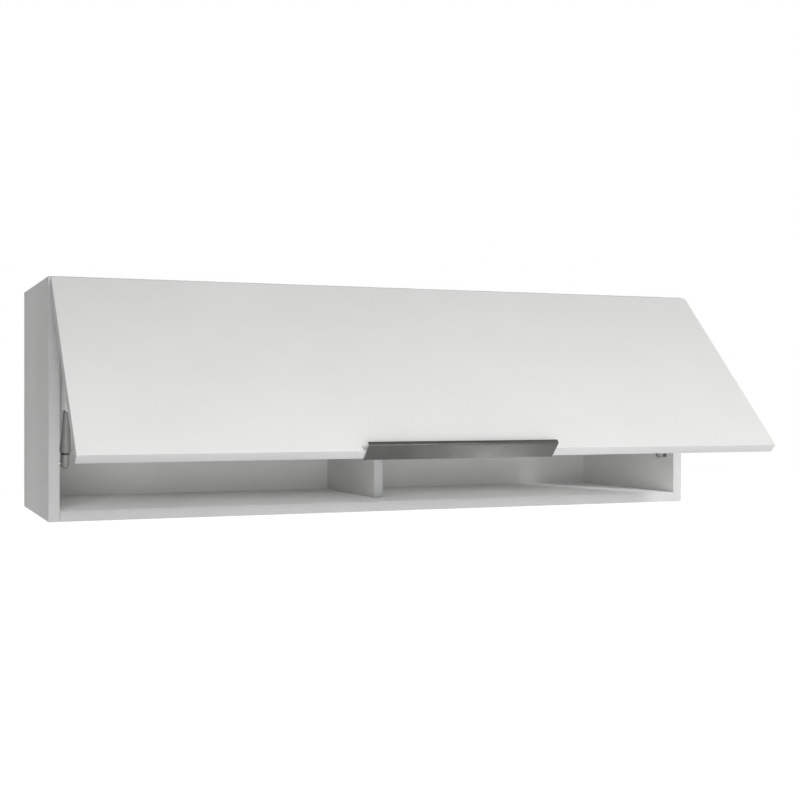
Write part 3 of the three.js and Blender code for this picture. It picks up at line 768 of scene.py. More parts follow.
def seat(obj: Object, name: str, body: str, finish: Finish, *nodes: str) -> Object:
    """Name a piece, finish it, let it ride on its body, and let it stand for its nodes.

    Args:
        obj: The piece, in place, which keeps any finish that it already has.
        name: Its name.
        body: The body that it moves with.
        finish: Its finish.
        nodes: The frame's nodes that it replaces.

    Returns:
        The piece.
    """
    name_piece(obj, name)
    if not obj.data.materials:
        finish.dress(obj)
    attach(obj, body)
    if nodes:
        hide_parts(*nodes)
    log.info("%s: %d faces, on %s", name, len(obj.data.polygons), body)
    return obj


# ---- The cabinet's shared sizes -----------------------------------------------------------------


@dataclass(frozen=True)
class Sizes:
    """The sizes that more than one sub-assembly needs, the flap's given as it lies closed."""

    half_width: float = 500 * MM  # from the middle to a side's outer face
    half_height: float = 165 * MM  # from mid-height to the top
    depth: float = 290 * MM  # from the wall to the carcass front
    board: float = 15 * MM  # thickness of the boards
    back: float = 3 * MM  # thickness of the back board
    flap_gap: float = 2 * MM  # between the closed flap and the carcass front
    reveal: float = 1.5 * MM  # round the flap's side edges
    margin: float = 3 * MM  # over and under the flap
    pivot: Point = (-303.4 * MM, 157.3 * MM)  # (y, z) of the line that the flap turns about
    open_angle: float = 45  # how far the flap stands open, in degrees
    fit: float = 0.3 * MM  # gap between a piece and the hole or face made for it

    @property
    def inner(self) -> float:
        """X of the right-hand side's inner face."""
        return self.half_width - self.board

    @property
    def front(self) -> float:
        """Y of the carcass front."""
        return -self.depth

    @property
    def flap_rear(self) -> float:
        """Y of the closed flap's rear face."""
        return self.front - self.flap_gap

    @property
    def seat_y(self) -> float:
        """Y of a fitting's seat on that face."""
        return self.flap_rear + self.fit

    @property
    def flap_top(self) -> float:
        """Z of the closed flap's top edge."""
        return self.half_height - self.margin

    def swing(self) -> Matrix:
        """The turn that carries the closed flap to where it rests."""
        y, z = self.pivot
        return at(0, y, z) @ turn(-self.open_angle, "X") @ at(0, -y, -z)


SIZES = Sizes()
CARCASS, FLAP = Body.CARCASS.value, Body.FLAP.value
TO_WALL = turn(-90, "X")  # lays a piece drawn about +Z on its back, its top towards the wall
BURR = 0.25 * MM  # how far the cut edges of pressed metal are rounded off


# ---- Carcass ------------------------------------------------------------------------------------


@dataclass
class Carcass:
    """The fixed boards, with the bores that their fixings need."""

    edge_round: float = 0.8 * MM  # radius to which a banded edge is trimmed
    cam_radius: float = 7.5 * MM  # radius of a cam lock
    cam_depth: float = 12.5 * MM  # how deep a cam lock sits
    cam_inset: float = 34 * MM  # from a panel's end to the cam's centre
    cam_rows: Point = (-253 * MM, -60 * MM)  # Y of the two rows of cams
    bolt_radius: float = 3.5 * MM  # radius of a cam bolt
    screw_y: float = -112 * MM  # Y of the screws into the divider
    screw_head: Point = (4.7 * MM, 2 * MM)  # radius and depth of their heads
    rebate: float = 8 * MM  # how far the back board reaches into a side
    rail: Point = (-18 * MM, 90 * MM)  # Y of the rail's front and Z of its lower edge
    wall_hole: Place = (415 * MM, 120 * MM, 3.5 * MM)  # X, Z and radius of a wall hole

    def board(self, node: str, short: float = 0.0) -> Object:
        """Plane a board to its node's size and round its edges.

        Args:
            node: The board's node.
            short: How much is sawn off each end, along X.

        Returns:
            The board, in place.
        """
        low, high = (Vector(corner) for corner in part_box(node))
        trim = Vector((short, 0, 0))
        return ease(block(low + trim, high - trim), self.edge_round)

    def side(self, side: Side) -> None:
        """Make one side panel, rebated for the back board.

        Args:
            side: Which of the two.
        """
        node = f"side_panel_{side.tag}"
        panel = self.board(node)
        inner = side.value * SIZES.inner
        low = (inner - side.value * RUN_ON, -SIZES.back, -SIZES.half_height - RUN_ON)
        high = (inner + side.value * self.rebate, RUN_ON, SIZES.half_height + RUN_ON)
        combine(panel, block(low, high))
        face_by_normal(panel, 0)
        seat(panel, f"side_board_{side.tag}", CARCASS, MELAMINE, node)

    def level(self, level: Level) -> None:
        """Make the top or the bottom panel, bored for its cams, bolts and divider screw.

        Args:
            level: Which of the two.
        """
        node = f"{level.tag}_panel"
        panel = self.board(node, short=SIZES.fit)
        outer = level.value * SIZES.half_height
        middle = outer - level.value * SIZES.board / 2
        above = outer + level.value * RUN_ON
        for side, y in product(Side, self.cam_rows):
            x, end = (side.value * (SIZES.inner + past) for past in (-self.cam_inset, RUN_ON))
            floor = outer - level.value * (self.cam_depth + SIZES.fit)
            place = (x, y, middle)
            drill(panel, 2, place, (floor, above), self.cam_radius + SIZES.fit)
            drill(panel, 0, place, (x, end), self.bolt_radius + SIZES.fit)
        radius, depth = self.screw_head
        floor = outer - level.value * (depth + SIZES.fit)
        drill(panel, 2, (0, self.screw_y, 0), (floor, above), radius + SIZES.fit)
        # The bottom panel's faces are painted lighter, as painted light on the bay floors.
        faces = MELAMINE if level is Level.TOP else LIGHTENED_SHELF_MELAMINE
        face_by_normal(panel, 2, faces)
        seat(panel, f"{level.tag}_board", CARCASS, MELAMINE, node)

    def divider(self) -> None:
        """Make the divider, notched round the hanging rail."""
        panel = self.board("centre_divider")
        rail_front, rail_foot = self.rail
        notch = ((-SIZES.board, rail_front, rail_foot), (SIZES.board, RUN_ON, SIZES.half_height))
        combine(panel, block(*notch))
        face_by_normal(panel, 0)
        seat(panel, "divider_board", CARCASS, MELAMINE, "centre_divider")

    def bored_for_wall(self, board: Object) -> Object:
        """Drill the two wall holes through the rail or the back.

        Args:
            board: The board.

        Returns:
            The same board.
        """
        x, z, radius = self.wall_hole
        for side in Side:
            drill(board, 1, (side.value * x, 0, z), (self.rail[0] - RUN_ON, RUN_ON), radius)
        return board

    def build(self) -> None:
        """Make every board of the carcass."""
        for side in Side:
            self.side(side)
        for level in Level:
            self.level(level)
        self.divider()
        rail = self.bored_for_wall(self.board("hanging_rail"))
        face_by_normal(rail, 1)
        seat(rail, "rail_board", CARCASS, MELAMINE, "hanging_rail")
        back = self.bored_for_wall(ease(block(*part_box("back_board")), SIZES.fit))
        seat(back, "back_sheet", CARCASS, HARDBOARD, "back_board")


# ---- Flap and pull ------------------------------------------------------------------------------


@dataclass
class Flap:
    """The top-hung flap, its bent pull, the pull's screws and the two bumpers."""

    hinge: Hinge  # the hinges whose cups it is bored for
    thickness: float = 15 * MM  # of the flap's board
    edge_round: float = 0.9 * MM  # radius to which its banded edges are trimmed
    pull_length: float = 272 * MM  # along X
    sheet: float = 1.4 * MM  # thickness of the pull's metal
    bend: float = 0.6 * MM  # radius inside its bends
    reach: float = 12 * MM  # how far it stands out in front of the flap
    lip: float = 6.4 * MM  # height of its front lip
    flange: float = 24 * MM  # how far its rear flange climbs above the flap's lower edge
    screw_x: Place = (-112 * MM, 0, 112 * MM)  # X of the pull's screws
    screw_rise: float = 17 * MM  # their height above the flap's lower edge
    # X, rise above the lower edge and radius of a bumper.
    bumper: Place = (492.5 * MM, 40 * MM, 4 * MM)

    @property
    def foot(self) -> float:
        """Z of the closed flap's lower edge."""
        return -SIZES.flap_top

    @property
    def flange_rear(self) -> float:
        """Y of the rear face of the pull's flange, flap closed."""
        return SIZES.seat_y + self.sheet

    def board(self) -> None:
        """Make the flap's board, bored from behind for the hinge cups."""
        half = SIZES.half_width - SIZES.reveal
        rear = SIZES.flap_rear
        low = (-half, rear - self.thickness, self.foot)
        panel = ease(block(low, (half, rear, SIZES.flap_top)), self.edge_round, segments=3)
        radius, depth = self.hinge.cup
        span = (rear - depth - SIZES.fit, rear + RUN_ON)
        for side in Side:
            place = (side.value * self.hinge.x, 0, self.hinge.cup_z)
            drill(panel, 1, place, span, radius + SIZES.fit)
        face_by_normal(panel, 1)
        move(panel, SIZES.swing())
        seat(panel, "flap_board", FLAP, MELAMINE, "flap_panel")

    def pull(self) -> None:
        """Bend the pull from one strip: down behind the flap, under its edge, up in front."""
        half = self.pull_length / 2
        middle = self.sheet / 2
        rear = self.flange_rear - middle
        front = SIZES.flap_rear - self.thickness - self.reach + middle
        web = self.foot - SIZES.fit - middle
        lip_top = web - middle + self.lip
        corners = [(rear, self.foot + self.flange), (rear, web), (front, web), (front, lip_top)]
        line = [(-half, y, z) for y, z in corners]
        strip = thicken(bent(line, 2 * half, web, self.bend + middle, 8), self.sheet)
        span = (self.flange_rear - self.sheet - SIZES.fit, self.flange_rear + RUN_ON)
        for x in self.screw_x:
            drill(strip, 1, (x, 0, self.foot + self.screw_rise), span, SCREW_HOLE)
        ease(strip, BURR, angle=DEBURRED_ANGLE)
        move(strip, SIZES.swing())
        # The pull's dark colour is painted shade for the darker surroundings that it reflects.
        seat(strip, "pull", FLAP, DARKENED_BRUSHED_ALUMINIUM, "handle")

    def bumpers(self) -> None:
        """Stick a domed clear bumper inside each lower corner."""
        x, rise, radius = self.bumper
        height = SIZES.front - SIZES.fit - SIZES.seat_y
        skirt = height / 3
        dome = [(0, 0), (radius, 0), (radius, skirt)]
        dome += [(radius * math.cos(a), skirt * (1 + 2 * math.sin(a))) for a in DOME_RISE]
        dome += [(0, height)]
        for side in Side:
            pad = turned(dome, SMALL_SIDES)
            place = at(side.value * x, SIZES.seat_y, self.foot + rise)
            move(pad, SIZES.swing() @ place @ TO_WALL)
            shade_smooth(DOME_ANGLE)
            node = f"bumper_{side.tag}"
            seat(pad, f"domed_{node}", FLAP, CLEAR_RUBBER, node)

    def screws(self) -> None:
        """Screw the pull on from behind."""
        for index, x in enumerate(self.screw_x, start=1):
            washer = at(x, self.flange_rear + SIZES.fit, self.foot + self.screw_rise)
            place = SIZES.swing() @ washer @ TO_WALL
            node = f"handle_screw_{index}"
            SMALL_SCREWS.drive(f"pull_screw_{index}", place, FLAP, ZINC_PLATE, node)

    def build(self) -> None:
        """Make the flap and what it carries, apart from hinges and struts."""
        self.board()
        self.pull()
        self.screws()
        self.bumpers()


# ---- Gas struts ---------------------------------------------------------------------------------


@dataclass
class Strut:
    """A gas strut between its two ball studs, drawn upright about +Z and then leant."""

    x: float = 475 * MM  # from the middle to a strut's axis
    foot: Point = (-266 * MM, -87 * MM)  # (y, z) of the lower ball
    head_closed: Point = (-276 * MM, 124 * MM)  # (y, z) of the upper ball with the flap closed
    ball: float = 4 * MM  # radius of a ball
    stud: float = 2.2 * MM  # radius of its stud
    socket: float = 5.8 * MM  # radius of a socket
    tip: float = 8 * MM  # from a ball's centre to its socket's round end
    neck: float = 12.4 * MM  # from the lower ball up to the groove
    groove: Point = (4.6 * MM, 2.8 * MM)  # radius and width of the groove
    rim: Point = (7.3 * MM, 3 * MM)  # radius and width of the rim over it
    cone: Point = (53.8 * MM, 3.9 * MM)  # length and thin end's radius of the cone
    grip: float = 12 * MM  # length of rod held in the cone
    rod: Point = (3 * MM, 43 * MM)  # radius and length of the rod
    tube: Point = (8 * MM, 115 * MM)  # radius and length of the tube
    shank: float = 15 * MM  # length of the upper socket below its ball
    play: Point = (0.5 * MM, 0.7 * MM)  # round a ball in its socket, and round a stud
    # Radius to which the ends' edges are moulded, and the tube's are rolled.
    soft: Point = (0.45 * MM, 0.4 * MM)
    chamfer: float = 0.93  # radius of the rim's lower edge as a share of its own
    swell: float = 0.35 * MM  # how far the cone bulges
    tip_round: float = 0.6 * MM  # radius of the rod's edges
    wall: float = 1.3 * MM  # thickness of the tube
    # How far under the tube's top its inside ends, and its shoulder lies.
    crown: Point = (3 * MM, 2 * MM)
    roll: Point = (5 * MM, 1.8 * MM)  # height over the mouth and width of the rolled ring
    roll_depth: Point = (0.35 * MM, 0.5 * MM)  # depth of the ring and width of its flanks
    clip: Point = (0.1 * MM, 0.3 * MM)  # gap beside the ring of painted shade in the groove, and radius of its edges

    def head(self) -> Vector:
        """Where the upper ball is with the flap at rest."""
        return SIZES.swing() @ Vector((0, *self.head_closed))

    def stand(self, place: Sequence[float]) -> Matrix:
        """The lean and the place of a left-hand piece whose ball lies at (y, z).

        Args:
            place: Where its ball lies.

        Returns:
            The matrix that carries it there.
        """
        head = self.head()
        lean = math.atan2(self.foot[0] - head.y, head.z - self.foot[1])
        return at(-self.x, *place) @ Matrix.Rotation(lean, 4, "X")

    def nose(self) -> list[Point]:
        """Half the outline of a socket's round end, from its tip to its full width."""
        outline = arc((0, self.socket - self.tip), self.socket, -90, 0)
        return [(max(radius, 0), height) for radius, height in outline]

    def moulded(self, profile: Sequence[Point]) -> Object:
        """Mould an end from its profile, with a pocket for the ball that is open towards -X.

        Args:
            profile: Its (radius, height) points.

        Returns:
            The fitting, with its ball's centre at the origin.
        """
        fitting = ease(turned(profile), self.soft[0], segments=3)
        pick()
        bpy.ops.mesh.primitive_uv_sphere_add(
            segments=SMALL_SIDES, ring_count=SMALL_SIDES // 2, radius=self.ball + self.play[0]
        )
        combine(fitting, bpy.context.object)
        return drill(fitting, 0, (0, 0, 0), (0, -self.socket - RUN_ON), self.stud + self.play[1])

    def lower_fitting(self) -> Object:
        """Mould the left strut's lower end: socket, groove, rim and the cone that grips the rod.

        Returns:
            The fitting.
        """
        groove_radius, groove_width = self.groove
        rim_radius, rim_width = self.rim
        length, thin = self.cone
        rim_low = self.neck + groove_width
        cone_low = rim_low + rim_width
        top = cone_low + length
        bore = self.rod[0] + SIZES.fit
        profile = [*self.nose(), (self.socket, self.neck), (groove_radius, self.neck)]
        profile += [(groove_radius, rim_low), (rim_radius * self.chamfer, rim_low)]
        profile += [(rim_radius, rim_low + rim_width / 2)]
        # The cone swells a little over the rim, as a moulding does, and draws in to the rod.
        for share in (0.0, 0.1, 0.25, 0.5, 0.75, 1.0):
            swell = self.swell * math.sin(math.pi * share) * (1 - share)
            radius = rim_radius + (thin - rim_radius) * share + swell
            profile.append((radius, cone_low + length * share))
        profile += [(bore, top), (bore, top - self.grip), (0, top - self.grip)]
        return self.moulded(profile)

    def upper_fitting(self) -> Object:
        """Mould the left strut's upper end: the same socket, head up, on a short round shank.

        Returns:
            The fitting.
        """
        fitting = self.moulded([*self.nose(), (self.socket, self.shank), (0, self.shank)])
        return move(fitting, turn(180, "Y"))

    def piston_rod(self) -> Object:
        """Turn the rod, with a chamfer at its top.

        Returns:
            The rod, over the lower ball.
        """
        radius, length = self.rod
        low = self.neck + self.groove[1] + self.rim[1] + self.cone[0] - self.grip + SIZES.fit
        high = low + length
        return ease(turned([(0, low), (radius, low), (radius, high), (0, high)]), self.tip_round)

    def gas_tube(self) -> Object:
        """Draw the tube down from its socket: crimped shoulder above, rolled lip below.

        Returns:
            The tube, under the upper ball.
        """
        radius, length = self.tube
        bore = radius - self.wall
        top = -self.shank - SIZES.fit
        low = top - length
        ceiling, shoulder = (top - drop for drop in self.crown)
        depth, flank = self.roll_depth
        ring_low = low + self.roll[0]
        ring_high = ring_low + self.roll[1]
        profile = [(0, ceiling), (bore, ceiling), (bore, low), (radius, low), (radius, ring_low)]
        profile += [(radius - depth, ring_low + flank), (radius - depth, ring_high - flank)]
        profile += [(radius, ring_high), (radius, shoulder), (bore, top), (0, top)]
        return ease(turned(profile), self.soft[1], segments=3)

    def groove_shade_ring(self) -> Object:
        """Turn the near-black ring of painted shade that sits in the lower fitting's groove.

        Returns:
            The ring, over the lower ball.
        """
        gap, edge = self.clip
        inner, outer = self.groove[0] + gap, self.socket
        low, high = self.neck + gap, self.neck + self.groove[1] - gap
        ring = [(inner, low), (outer, low), (outer, high), (inner, high), (inner, low)]
        return ease(turned(ring), edge)

    def build(self) -> None:
        """Make both struts."""
        made = [
            ("cone_end", self.lower_fitting(), "lower", GREY_ACETAL, "lower_fitting"),
            ("piston", self.piston_rod(), "lower", HARD_CHROME, "rod"),
            ("socket_end", self.upper_fitting(), "upper", GREY_ACETAL, "upper_fitting"),
            ("gas_tube", self.gas_tube(), "upper", PALE_ENAMEL, "tube"),
            # A near-black ring in the groove, as painted shade under the rim.
            ("groove_shade_ring", self.groove_shade_ring(), "lower", GROOVE_SHADE_BLACK, ""),
        ]
        for name, left, half, finish, node in made:
            move(left, self.stand(self.foot if half == "lower" else self.head().yz))
            shade_smooth(SMOOTH_ANGLE)
            for side, obj in zip(Side, (left, mirrored(left))):
                body = f"{half}_strut_{side.tag}"
                nodes = [f"strut_{node}_{side.tag}"] if node else []
                seat(obj, f"{name}_{side.tag}", body, finish, *nodes)


# ---- Screws and cams ----------------------------------------------------------------------------


@dataclass(frozen=True)
class Screw:
    """A pan-head screw with a cross recess, drawn about +Z with its head standing on z = 0."""

    length: float = 11 * MM  # of the shank
    shank: float = 1.75 * MM  # its radius
    head: Point = (3.5 * MM, 2 * MM)  # radius and height of the head
    brim: float = 0.3  # height of the head's upright edge as a share of the head's
    flat: float = 0.45  # how much of the head's radius isn't rounded
    # Half length and half width of the cross's slots as shares of the head's radius.
    recess: Point = (0.55, 0.13)
    recess_depth: float = 0.6  # their depth as a share of the head's height
    soft: float = 0.12 * MM  # radius of its edges

    def cut(self) -> Object:
        """Turn the screw and press its recess.

        Returns:
            The screw.
        """
        radius, height = self.head
        brim = height * self.brim
        crown = [
            (
                radius * (self.flat + (1 - self.flat) * math.cos(angle)),
                brim + (height - brim) * math.sin(angle),
            )
            for angle in (0.0, 0.5, 1.0, math.pi / 2)
        ]
        profile = [(0, -self.length), (self.shank, 2 * self.shank - self.length), (self.shank, 0)]
        screw = turned([*profile, (radius, 0), *crown, (0, height)], SMALL_SIDES)
        floor = height - height * self.recess_depth
        for across, along in (self.recess, self.recess[::-1]):
            long, wide = radius * across, radius * along
            combine(screw, block((-long, -wide, floor), (long, wide, height + RUN_ON)))
        return ease(screw, self.soft, segments=1)


@dataclass
class ScrewBox:
    """A box of screws of one kind: the first is cut, and the others are copies of it."""

    kind: Screw  # what it holds
    pattern: Object | None = None  # the one that is copied, once it is cut

    def drive(self, name: str, place: Matrix, body: str, finish: Finish, *nodes: str) -> None:
        """Put a copy of the screw in its place.

        Args:
            name: The piece's name.
            place: The turn and place of its head's seat.
            body: The body that it moves with.
            finish: Its finish.
            nodes: The frame's nodes that it replaces.
        """
        if self.pattern is None:
            self.pattern = self.kind.cut()
        screw = move(copy_of(self.pattern), place)
        seat(screw, name, body, finish, *nodes)

    def put_away(self) -> None:
        """Remove the pattern."""
        if self.pattern is not None:
            discard(self.pattern)
            self.pattern = None


SMALL_SCREWS = ScrewBox(Screw())
LONG_SCREWS = ScrewBox(Screw(length=45 * MM, shank=2.5 * MM, head=Carcass.screw_head))


@dataclass
class Fixings:
    """The cams that draw the boards together and the screws into the divider."""

    carcass: Carcass  # the boards whose bores they fill
    bolt_head: float = 2.9 * MM  # radius of the throat for a bolt's head
    cross: Point = (4.1 * MM, 0.8 * MM)  # half length and half width of a cam's recess
    cross_depth: float = 2 * MM  # its depth
    # Height and depth of the groove round a cam, and height of the lip over it.
    lip: float = 0.4 * MM
    soft: float = 0.15 * MM  # radius of a cam's edges

    def cam(self) -> Object:
        """Cast a cam about +Z, its face at z = 0, open towards +X for the bolt's head.

        Returns:
            The cam.
        """
        radius, depth = self.carcass.cam_radius, self.carcass.cam_depth
        waist, lip = radius - self.lip, self.lip
        profile = [(0, -depth), (radius, -depth), (radius, -2 * lip), (waist, -2 * lip)]
        cam = turned([*profile, (waist, -lip), (radius, -lip), (radius, 0), (0, 0)])
        middle = -SIZES.board / 2
        drill(cam, 0, (0, 0, middle), (-self.bolt_head, radius + RUN_ON), self.bolt_head)
        for long, short in (self.cross, self.cross[::-1]):
            combine(cam, block((-long, -short, -self.cross_depth), (long, short, RUN_ON)))
        return ease(cam, self.soft, segments=1)

    def build(self) -> None:
        """Fit every cam and both divider screws."""
        pattern = self.cam()
        x = SIZES.inner - self.carcass.cam_inset
        for level, side in product(Level, Side):
            # A cam is open towards the side panel that its bolt comes from.
            about = turn(0 if side is Side.RIGHT else 180, "Z")
            for row, y in zip(("front", "rear"), self.carcass.cam_rows):
                place = at(side.value * x, y, level.value * SIZES.half_height)
                cam = move(copy_of(pattern), place @ laid(level) @ about)
                tag = f"{level.tag}_{side.tag}_{row}"
                seat(cam, f"cam_lock_{tag}", CARCASS, ZINC_PLATE, f"cam_{tag}")
        discard(pattern)
        for level in Level:
            z = level.value * (SIZES.half_height - LONG_SCREWS.kind.head[1])
            place = at(0, self.carcass.screw_y, z) @ laid(level)
            node = f"divider_screw_{level.tag}"
            LONG_SCREWS.drive(f"long_{node}", place, CARCASS, ZINC_PLATE, node)


# ---- Cup hinges ---------------------------------------------------------------------------------


@dataclass
class Hinge:
    """A concealed cup hinge: mounting plate, arm, cranked lever and cup, with their screws."""

    x: float = 385 * MM  # from the middle to the hinge's centre line
    plate: float = 2 * MM  # thickness of the mounting plate
    row: float = -253 * MM  # Y of its screws
    pitch: float = 32 * MM  # between them
    arm_width: float = 16 * MM  # across the arm
    sheet: float = 1.5 * MM  # thickness of the arm's metal
    tail: float = -230 * MM  # Y of the arm's rear end
    arm_low: float = 139.5 * MM  # Z of its underside there
    bend: float = -275 * MM  # Y where it starts down to its nose
    nose: Point = (-289 * MM, 132 * MM)  # (y, z) of the pin in its nose
    nose_round: float = 4 * MM  # radius of the nose
    pin: float = 1.6 * MM  # radius of that pin
    lever: Point = (11 * MM, 1.5 * MM)  # width and thickness of the lever
    # Where the lever is cranked, forward of and along the line between its ends.
    knee: Point = (-3.5 * MM, 18 * MM)
    lever_end: Point = (-299.5 * MM, 154 * MM)  # (y, z) of its cup end, with the flap closed
    lever_pin: float = 0.9 * MM  # radius of the pin there
    lever_turn: float = 0.15  # the lever's turn as a share of the flap's
    cup_z: float = 141.5 * MM  # closed Z of the cup's centre
    cup: Point = (17.5 * MM, 11.5 * MM)  # radius and depth of the cup
    cup_wall: float = 1.2 * MM  # its thickness
    flange: Point = (60 * MM, 20 * MM)  # length and width of its screw flange
    cup_pitch: float = 48 * MM  # between its screws
    cup_round: float = 0.5 * MM  # radius of the cup's pressed edges
    flange_round: float = 7 * MM  # radius of the flange's corners
    cheek: float = 1.2 * MM  # thickness of the slotted cheeks
    # From the closed flap's top down to the cheeks, and in from its rear face to them.
    cheek_end: Point = (13 * MM, 2 * MM)
    full: float = 80  # how far the flap opens, in degrees
    plate_edge: Point = (6 * MM, 6 * MM)  # metal beyond the plate's screws, along X and along Y
    # Half width of the plate's stem, and how far it starts behind the screws.
    stem: Point = (9 * MM, 16 * MM)
    corner: float = 2 * MM  # radius of the plate's corners
    # Length of the ridge that the arm clips over, and how far it stands down.
    ridge: Point = (28 * MM, 5 * MM)
    arm_burr: float = 0.35 * MM  # radius of the arm's edges
    pin_head: float = 0.5 * MM  # how far the nose's pin stands out of the arm
    crank_bend: float = 2 * MM  # how far from the lever's knee its bend starts
    eye: float = 1.3 * MM  # thickness of the metal round the lever's pin hole

    @property
    def under_top(self) -> float:
        """Z of the top panel's underside."""
        return SIZES.half_height - SIZES.board

    def mounting_plate(self) -> Object:
        """Press the cross-shaped plate with the ridge that the arm clips over.

        Returns:
            The plate, in place but for its X.
        """
        under = self.under_top - self.plate
        wing, edge = self.pitch / 2 + self.plate_edge[0], self.plate_edge[1]
        strip, start = self.stem
        bars = [((-wing, self.row - edge), (wing, self.row + edge))]
        bars += [((-strip, self.row - start), (strip, self.tail))]
        crossbar, stem = (
            sawn([(x, y, under) for x, y in rounded(*ends, self.corner)], (0, 0, self.plate))
            for ends in bars
        )
        half = self.arm_width / 2 - self.sheet - SIZES.fit
        length, height = self.ridge
        low = (-half, self.tail - length, under - height)
        plate = fuse(crossbar, stem, block(low, (half, self.tail, under + self.plate / 2)))
        for x in (-self.pitch / 2, self.pitch / 2):
            span = (under - RUN_ON, self.under_top + RUN_ON)
            drill(plate, 2, (x, self.row, 0), span, SCREW_HOLE)
        return ease(plate, BURR)

    def arm(self) -> Object:
        """Fold the arm: a channel that runs forward under the plate and down to a forked nose.

        Returns:
            The arm with its pin, in place but for its X.
        """
        top = self.under_top - self.plate - SIZES.fit
        half = self.arm_width / 2
        nose_y, nose_z = self.nose
        radius = self.nose_round
        side = [(self.tail, self.arm_low), (self.tail, top), (self.bend, top)]
        side += [*arc(self.nose, radius, 135, 315), (self.bend + radius, self.arm_low)]
        arm = sawn([(-half, y, z) for y, z in side], (2 * half, 0, 0))
        web_end, fork = nose_y + radius, nose_y - radius - RUN_ON
        back, floor = self.tail + RUN_ON, self.arm_low + self.sheet
        above, below = top + RUN_ON, nose_z - radius - RUN_ON
        hollow = [(back, floor), (back, above), (fork, above), (fork, below), (web_end, below)]
        hollow += [(web_end, nose_z), (self.bend + radius, floor)]
        inner = half - self.sheet
        combine(arm, sawn([(-inner, y, z) for y, z in hollow], (2 * inner, 0, 0)))
        ease(arm, self.arm_burr)
        out = half + self.pin_head
        return fuse(arm, bar((-out, nose_y, nose_z), (out, nose_y, nose_z), self.pin))

    def crank(self) -> Object:
        """Bend the lever about its knee, with an eye at its foot and a pin at its end.

        Returns:
            The lever, upright over its own pivot.
        """
        width, thickness = self.lever
        nose = Vector((0, *self.nose))
        reach = (SIZES.swing() @ Vector((0, *self.lever_end)) - nose).length
        half = width / 2
        line = [(-half, 0, 0), (-half, *self.knee), (-half, 0, reach)]
        blade = thicken(bent(line, width, self.knee[1], self.crank_bend, 6), thickness)
        ease(blade, BURR, angle=DEBURRED_ANGLE)
        hole = self.pin + SIZES.fit
        outer = half + SIZES.fit + self.cheek
        fuse(blade, bar((-half, 0, 0), (half, 0, 0), hole + self.eye))
        fuse(blade, bar((-outer, 0, reach), (outer, 0, reach), self.lever_pin))
        return drill(blade, 0, (0, 0, 0), (-width, width), hole)

    def lever_stand(self) -> Matrix:
        """The lean and place of the lever at rest.

        Returns:
            The matrix that carries it there, but for its X.
        """
        end = SIZES.swing() @ Vector((0, *self.lever_end))
        lean = math.atan2(self.nose[0] - end.y, end.z - self.nose[1])
        return at(0, *self.nose) @ Matrix.Rotation(lean, 4, "X")

    def pin_path(self, steps: int = 8) -> list[Vector]:
        """Where the lever's end pin runs in the closed flap's (y, z) as the flap opens.

        Args:
            steps: How many steps the path is taken in.

        Returns:
            The path's points, from closed to full open.
        """
        rest = (SIZES.swing() @ Vector((0, *self.lever_end))).yz
        nose, pivot = Vector(self.nose), Vector(SIZES.pivot)
        path = []
        for step in range(steps + 1):
            angle = self.full * step / steps
            lean = Matrix.Rotation(math.radians(self.lever_turn * (angle - SIZES.open_angle)), 2)
            back = Matrix.Rotation(math.radians(angle), 2)
            path.append(pivot + back @ (nose + lean @ (rest - nose) - pivot))
        return path

    def pin_slot(self) -> Object:
        """The curved slot that the pin takes through the cheeks.

        Returns:
            A cutting tool, in the closed flap's place.
        """
        radius = self.lever_pin + SIZES.fit
        half = self.cup[0] / 2
        path = self.pin_path()
        sides: list[list[Place]] = [[], []]
        for index, point in enumerate(path):
            along = path[min(index + 1, len(path) - 1)] - path[max(index - 1, 0)]
            normal = Vector((-along.y, along.x)).normalized() * radius
            for row, sign in zip(sides, (1, -1)):
                row.append((-half, *(point + sign * normal)))
        slot = sawn([*sides[0], *reversed(sides[1])], (2 * half, 0, 0))
        ends = (bar((-half, *end), (half, *end), radius) for end in (path[0], path[-1]))
        return fuse(slot, *ends)

    def cup_flange(self) -> Object:
        """Press the cup's flange, with its mouth and its screw holes.

        Returns:
            The flange, in the closed flap's place but for its X.
        """
        length, width = self.flange[0] / 2, self.flange[1] / 2
        outline = rounded((-length, -width), (length, width), self.flange_round)
        rear = SIZES.seat_y + self.cup_wall
        line = [(x, SIZES.seat_y, self.cup_z + z) for x, z in outline]
        flange = sawn(line, (0, self.cup_wall, 0))
        holes = [(-self.cup_pitch / 2, SCREW_HOLE), (self.cup_pitch / 2, SCREW_HOLE)]
        for x, radius in [*holes, (0, self.cup[0] - self.cup_wall / 2)]:
            drill(flange, 1, (x, 0, self.cup_z), (SIZES.seat_y - RUN_ON, rear + RUN_ON), radius)
        return ease(flange, BURR)

    def pressed_cup(self) -> Object:
        """Draw the cup, with its flange and slotted cheeks.

        Returns:
            The cup, in the closed flap's place but for its X.
        """
        (radius, depth), wall = self.cup, self.cup_wall
        height = depth + SIZES.fit + wall
        floor = SIZES.seat_y + wall - height
        profile = [(0, 0), (radius, 0), (radius, height), (radius - wall, height)]
        shell = turned([*profile, (radius - wall, wall), (0, wall)])
        ease(shell, self.cup_round, segments=3)
        move(shell, at(0, floor, self.cup_z) @ TO_WALL)
        cup = fuse(shell, self.cup_flange())
        near = self.lever[0] / 2 + SIZES.fit
        far = near + self.cheek
        top = self.cup_z + math.sqrt((radius - wall / 2) ** 2 - far**2)
        drop, inset = self.cheek_end
        for sign in (-1, 1):
            low = (sign * near, floor + wall / 2, SIZES.flap_top - drop)
            cheek = block(low, (sign * far, SIZES.flap_rear - inset, top))
            fuse(cup, combine(cheek, self.pin_slot()))
        return cup

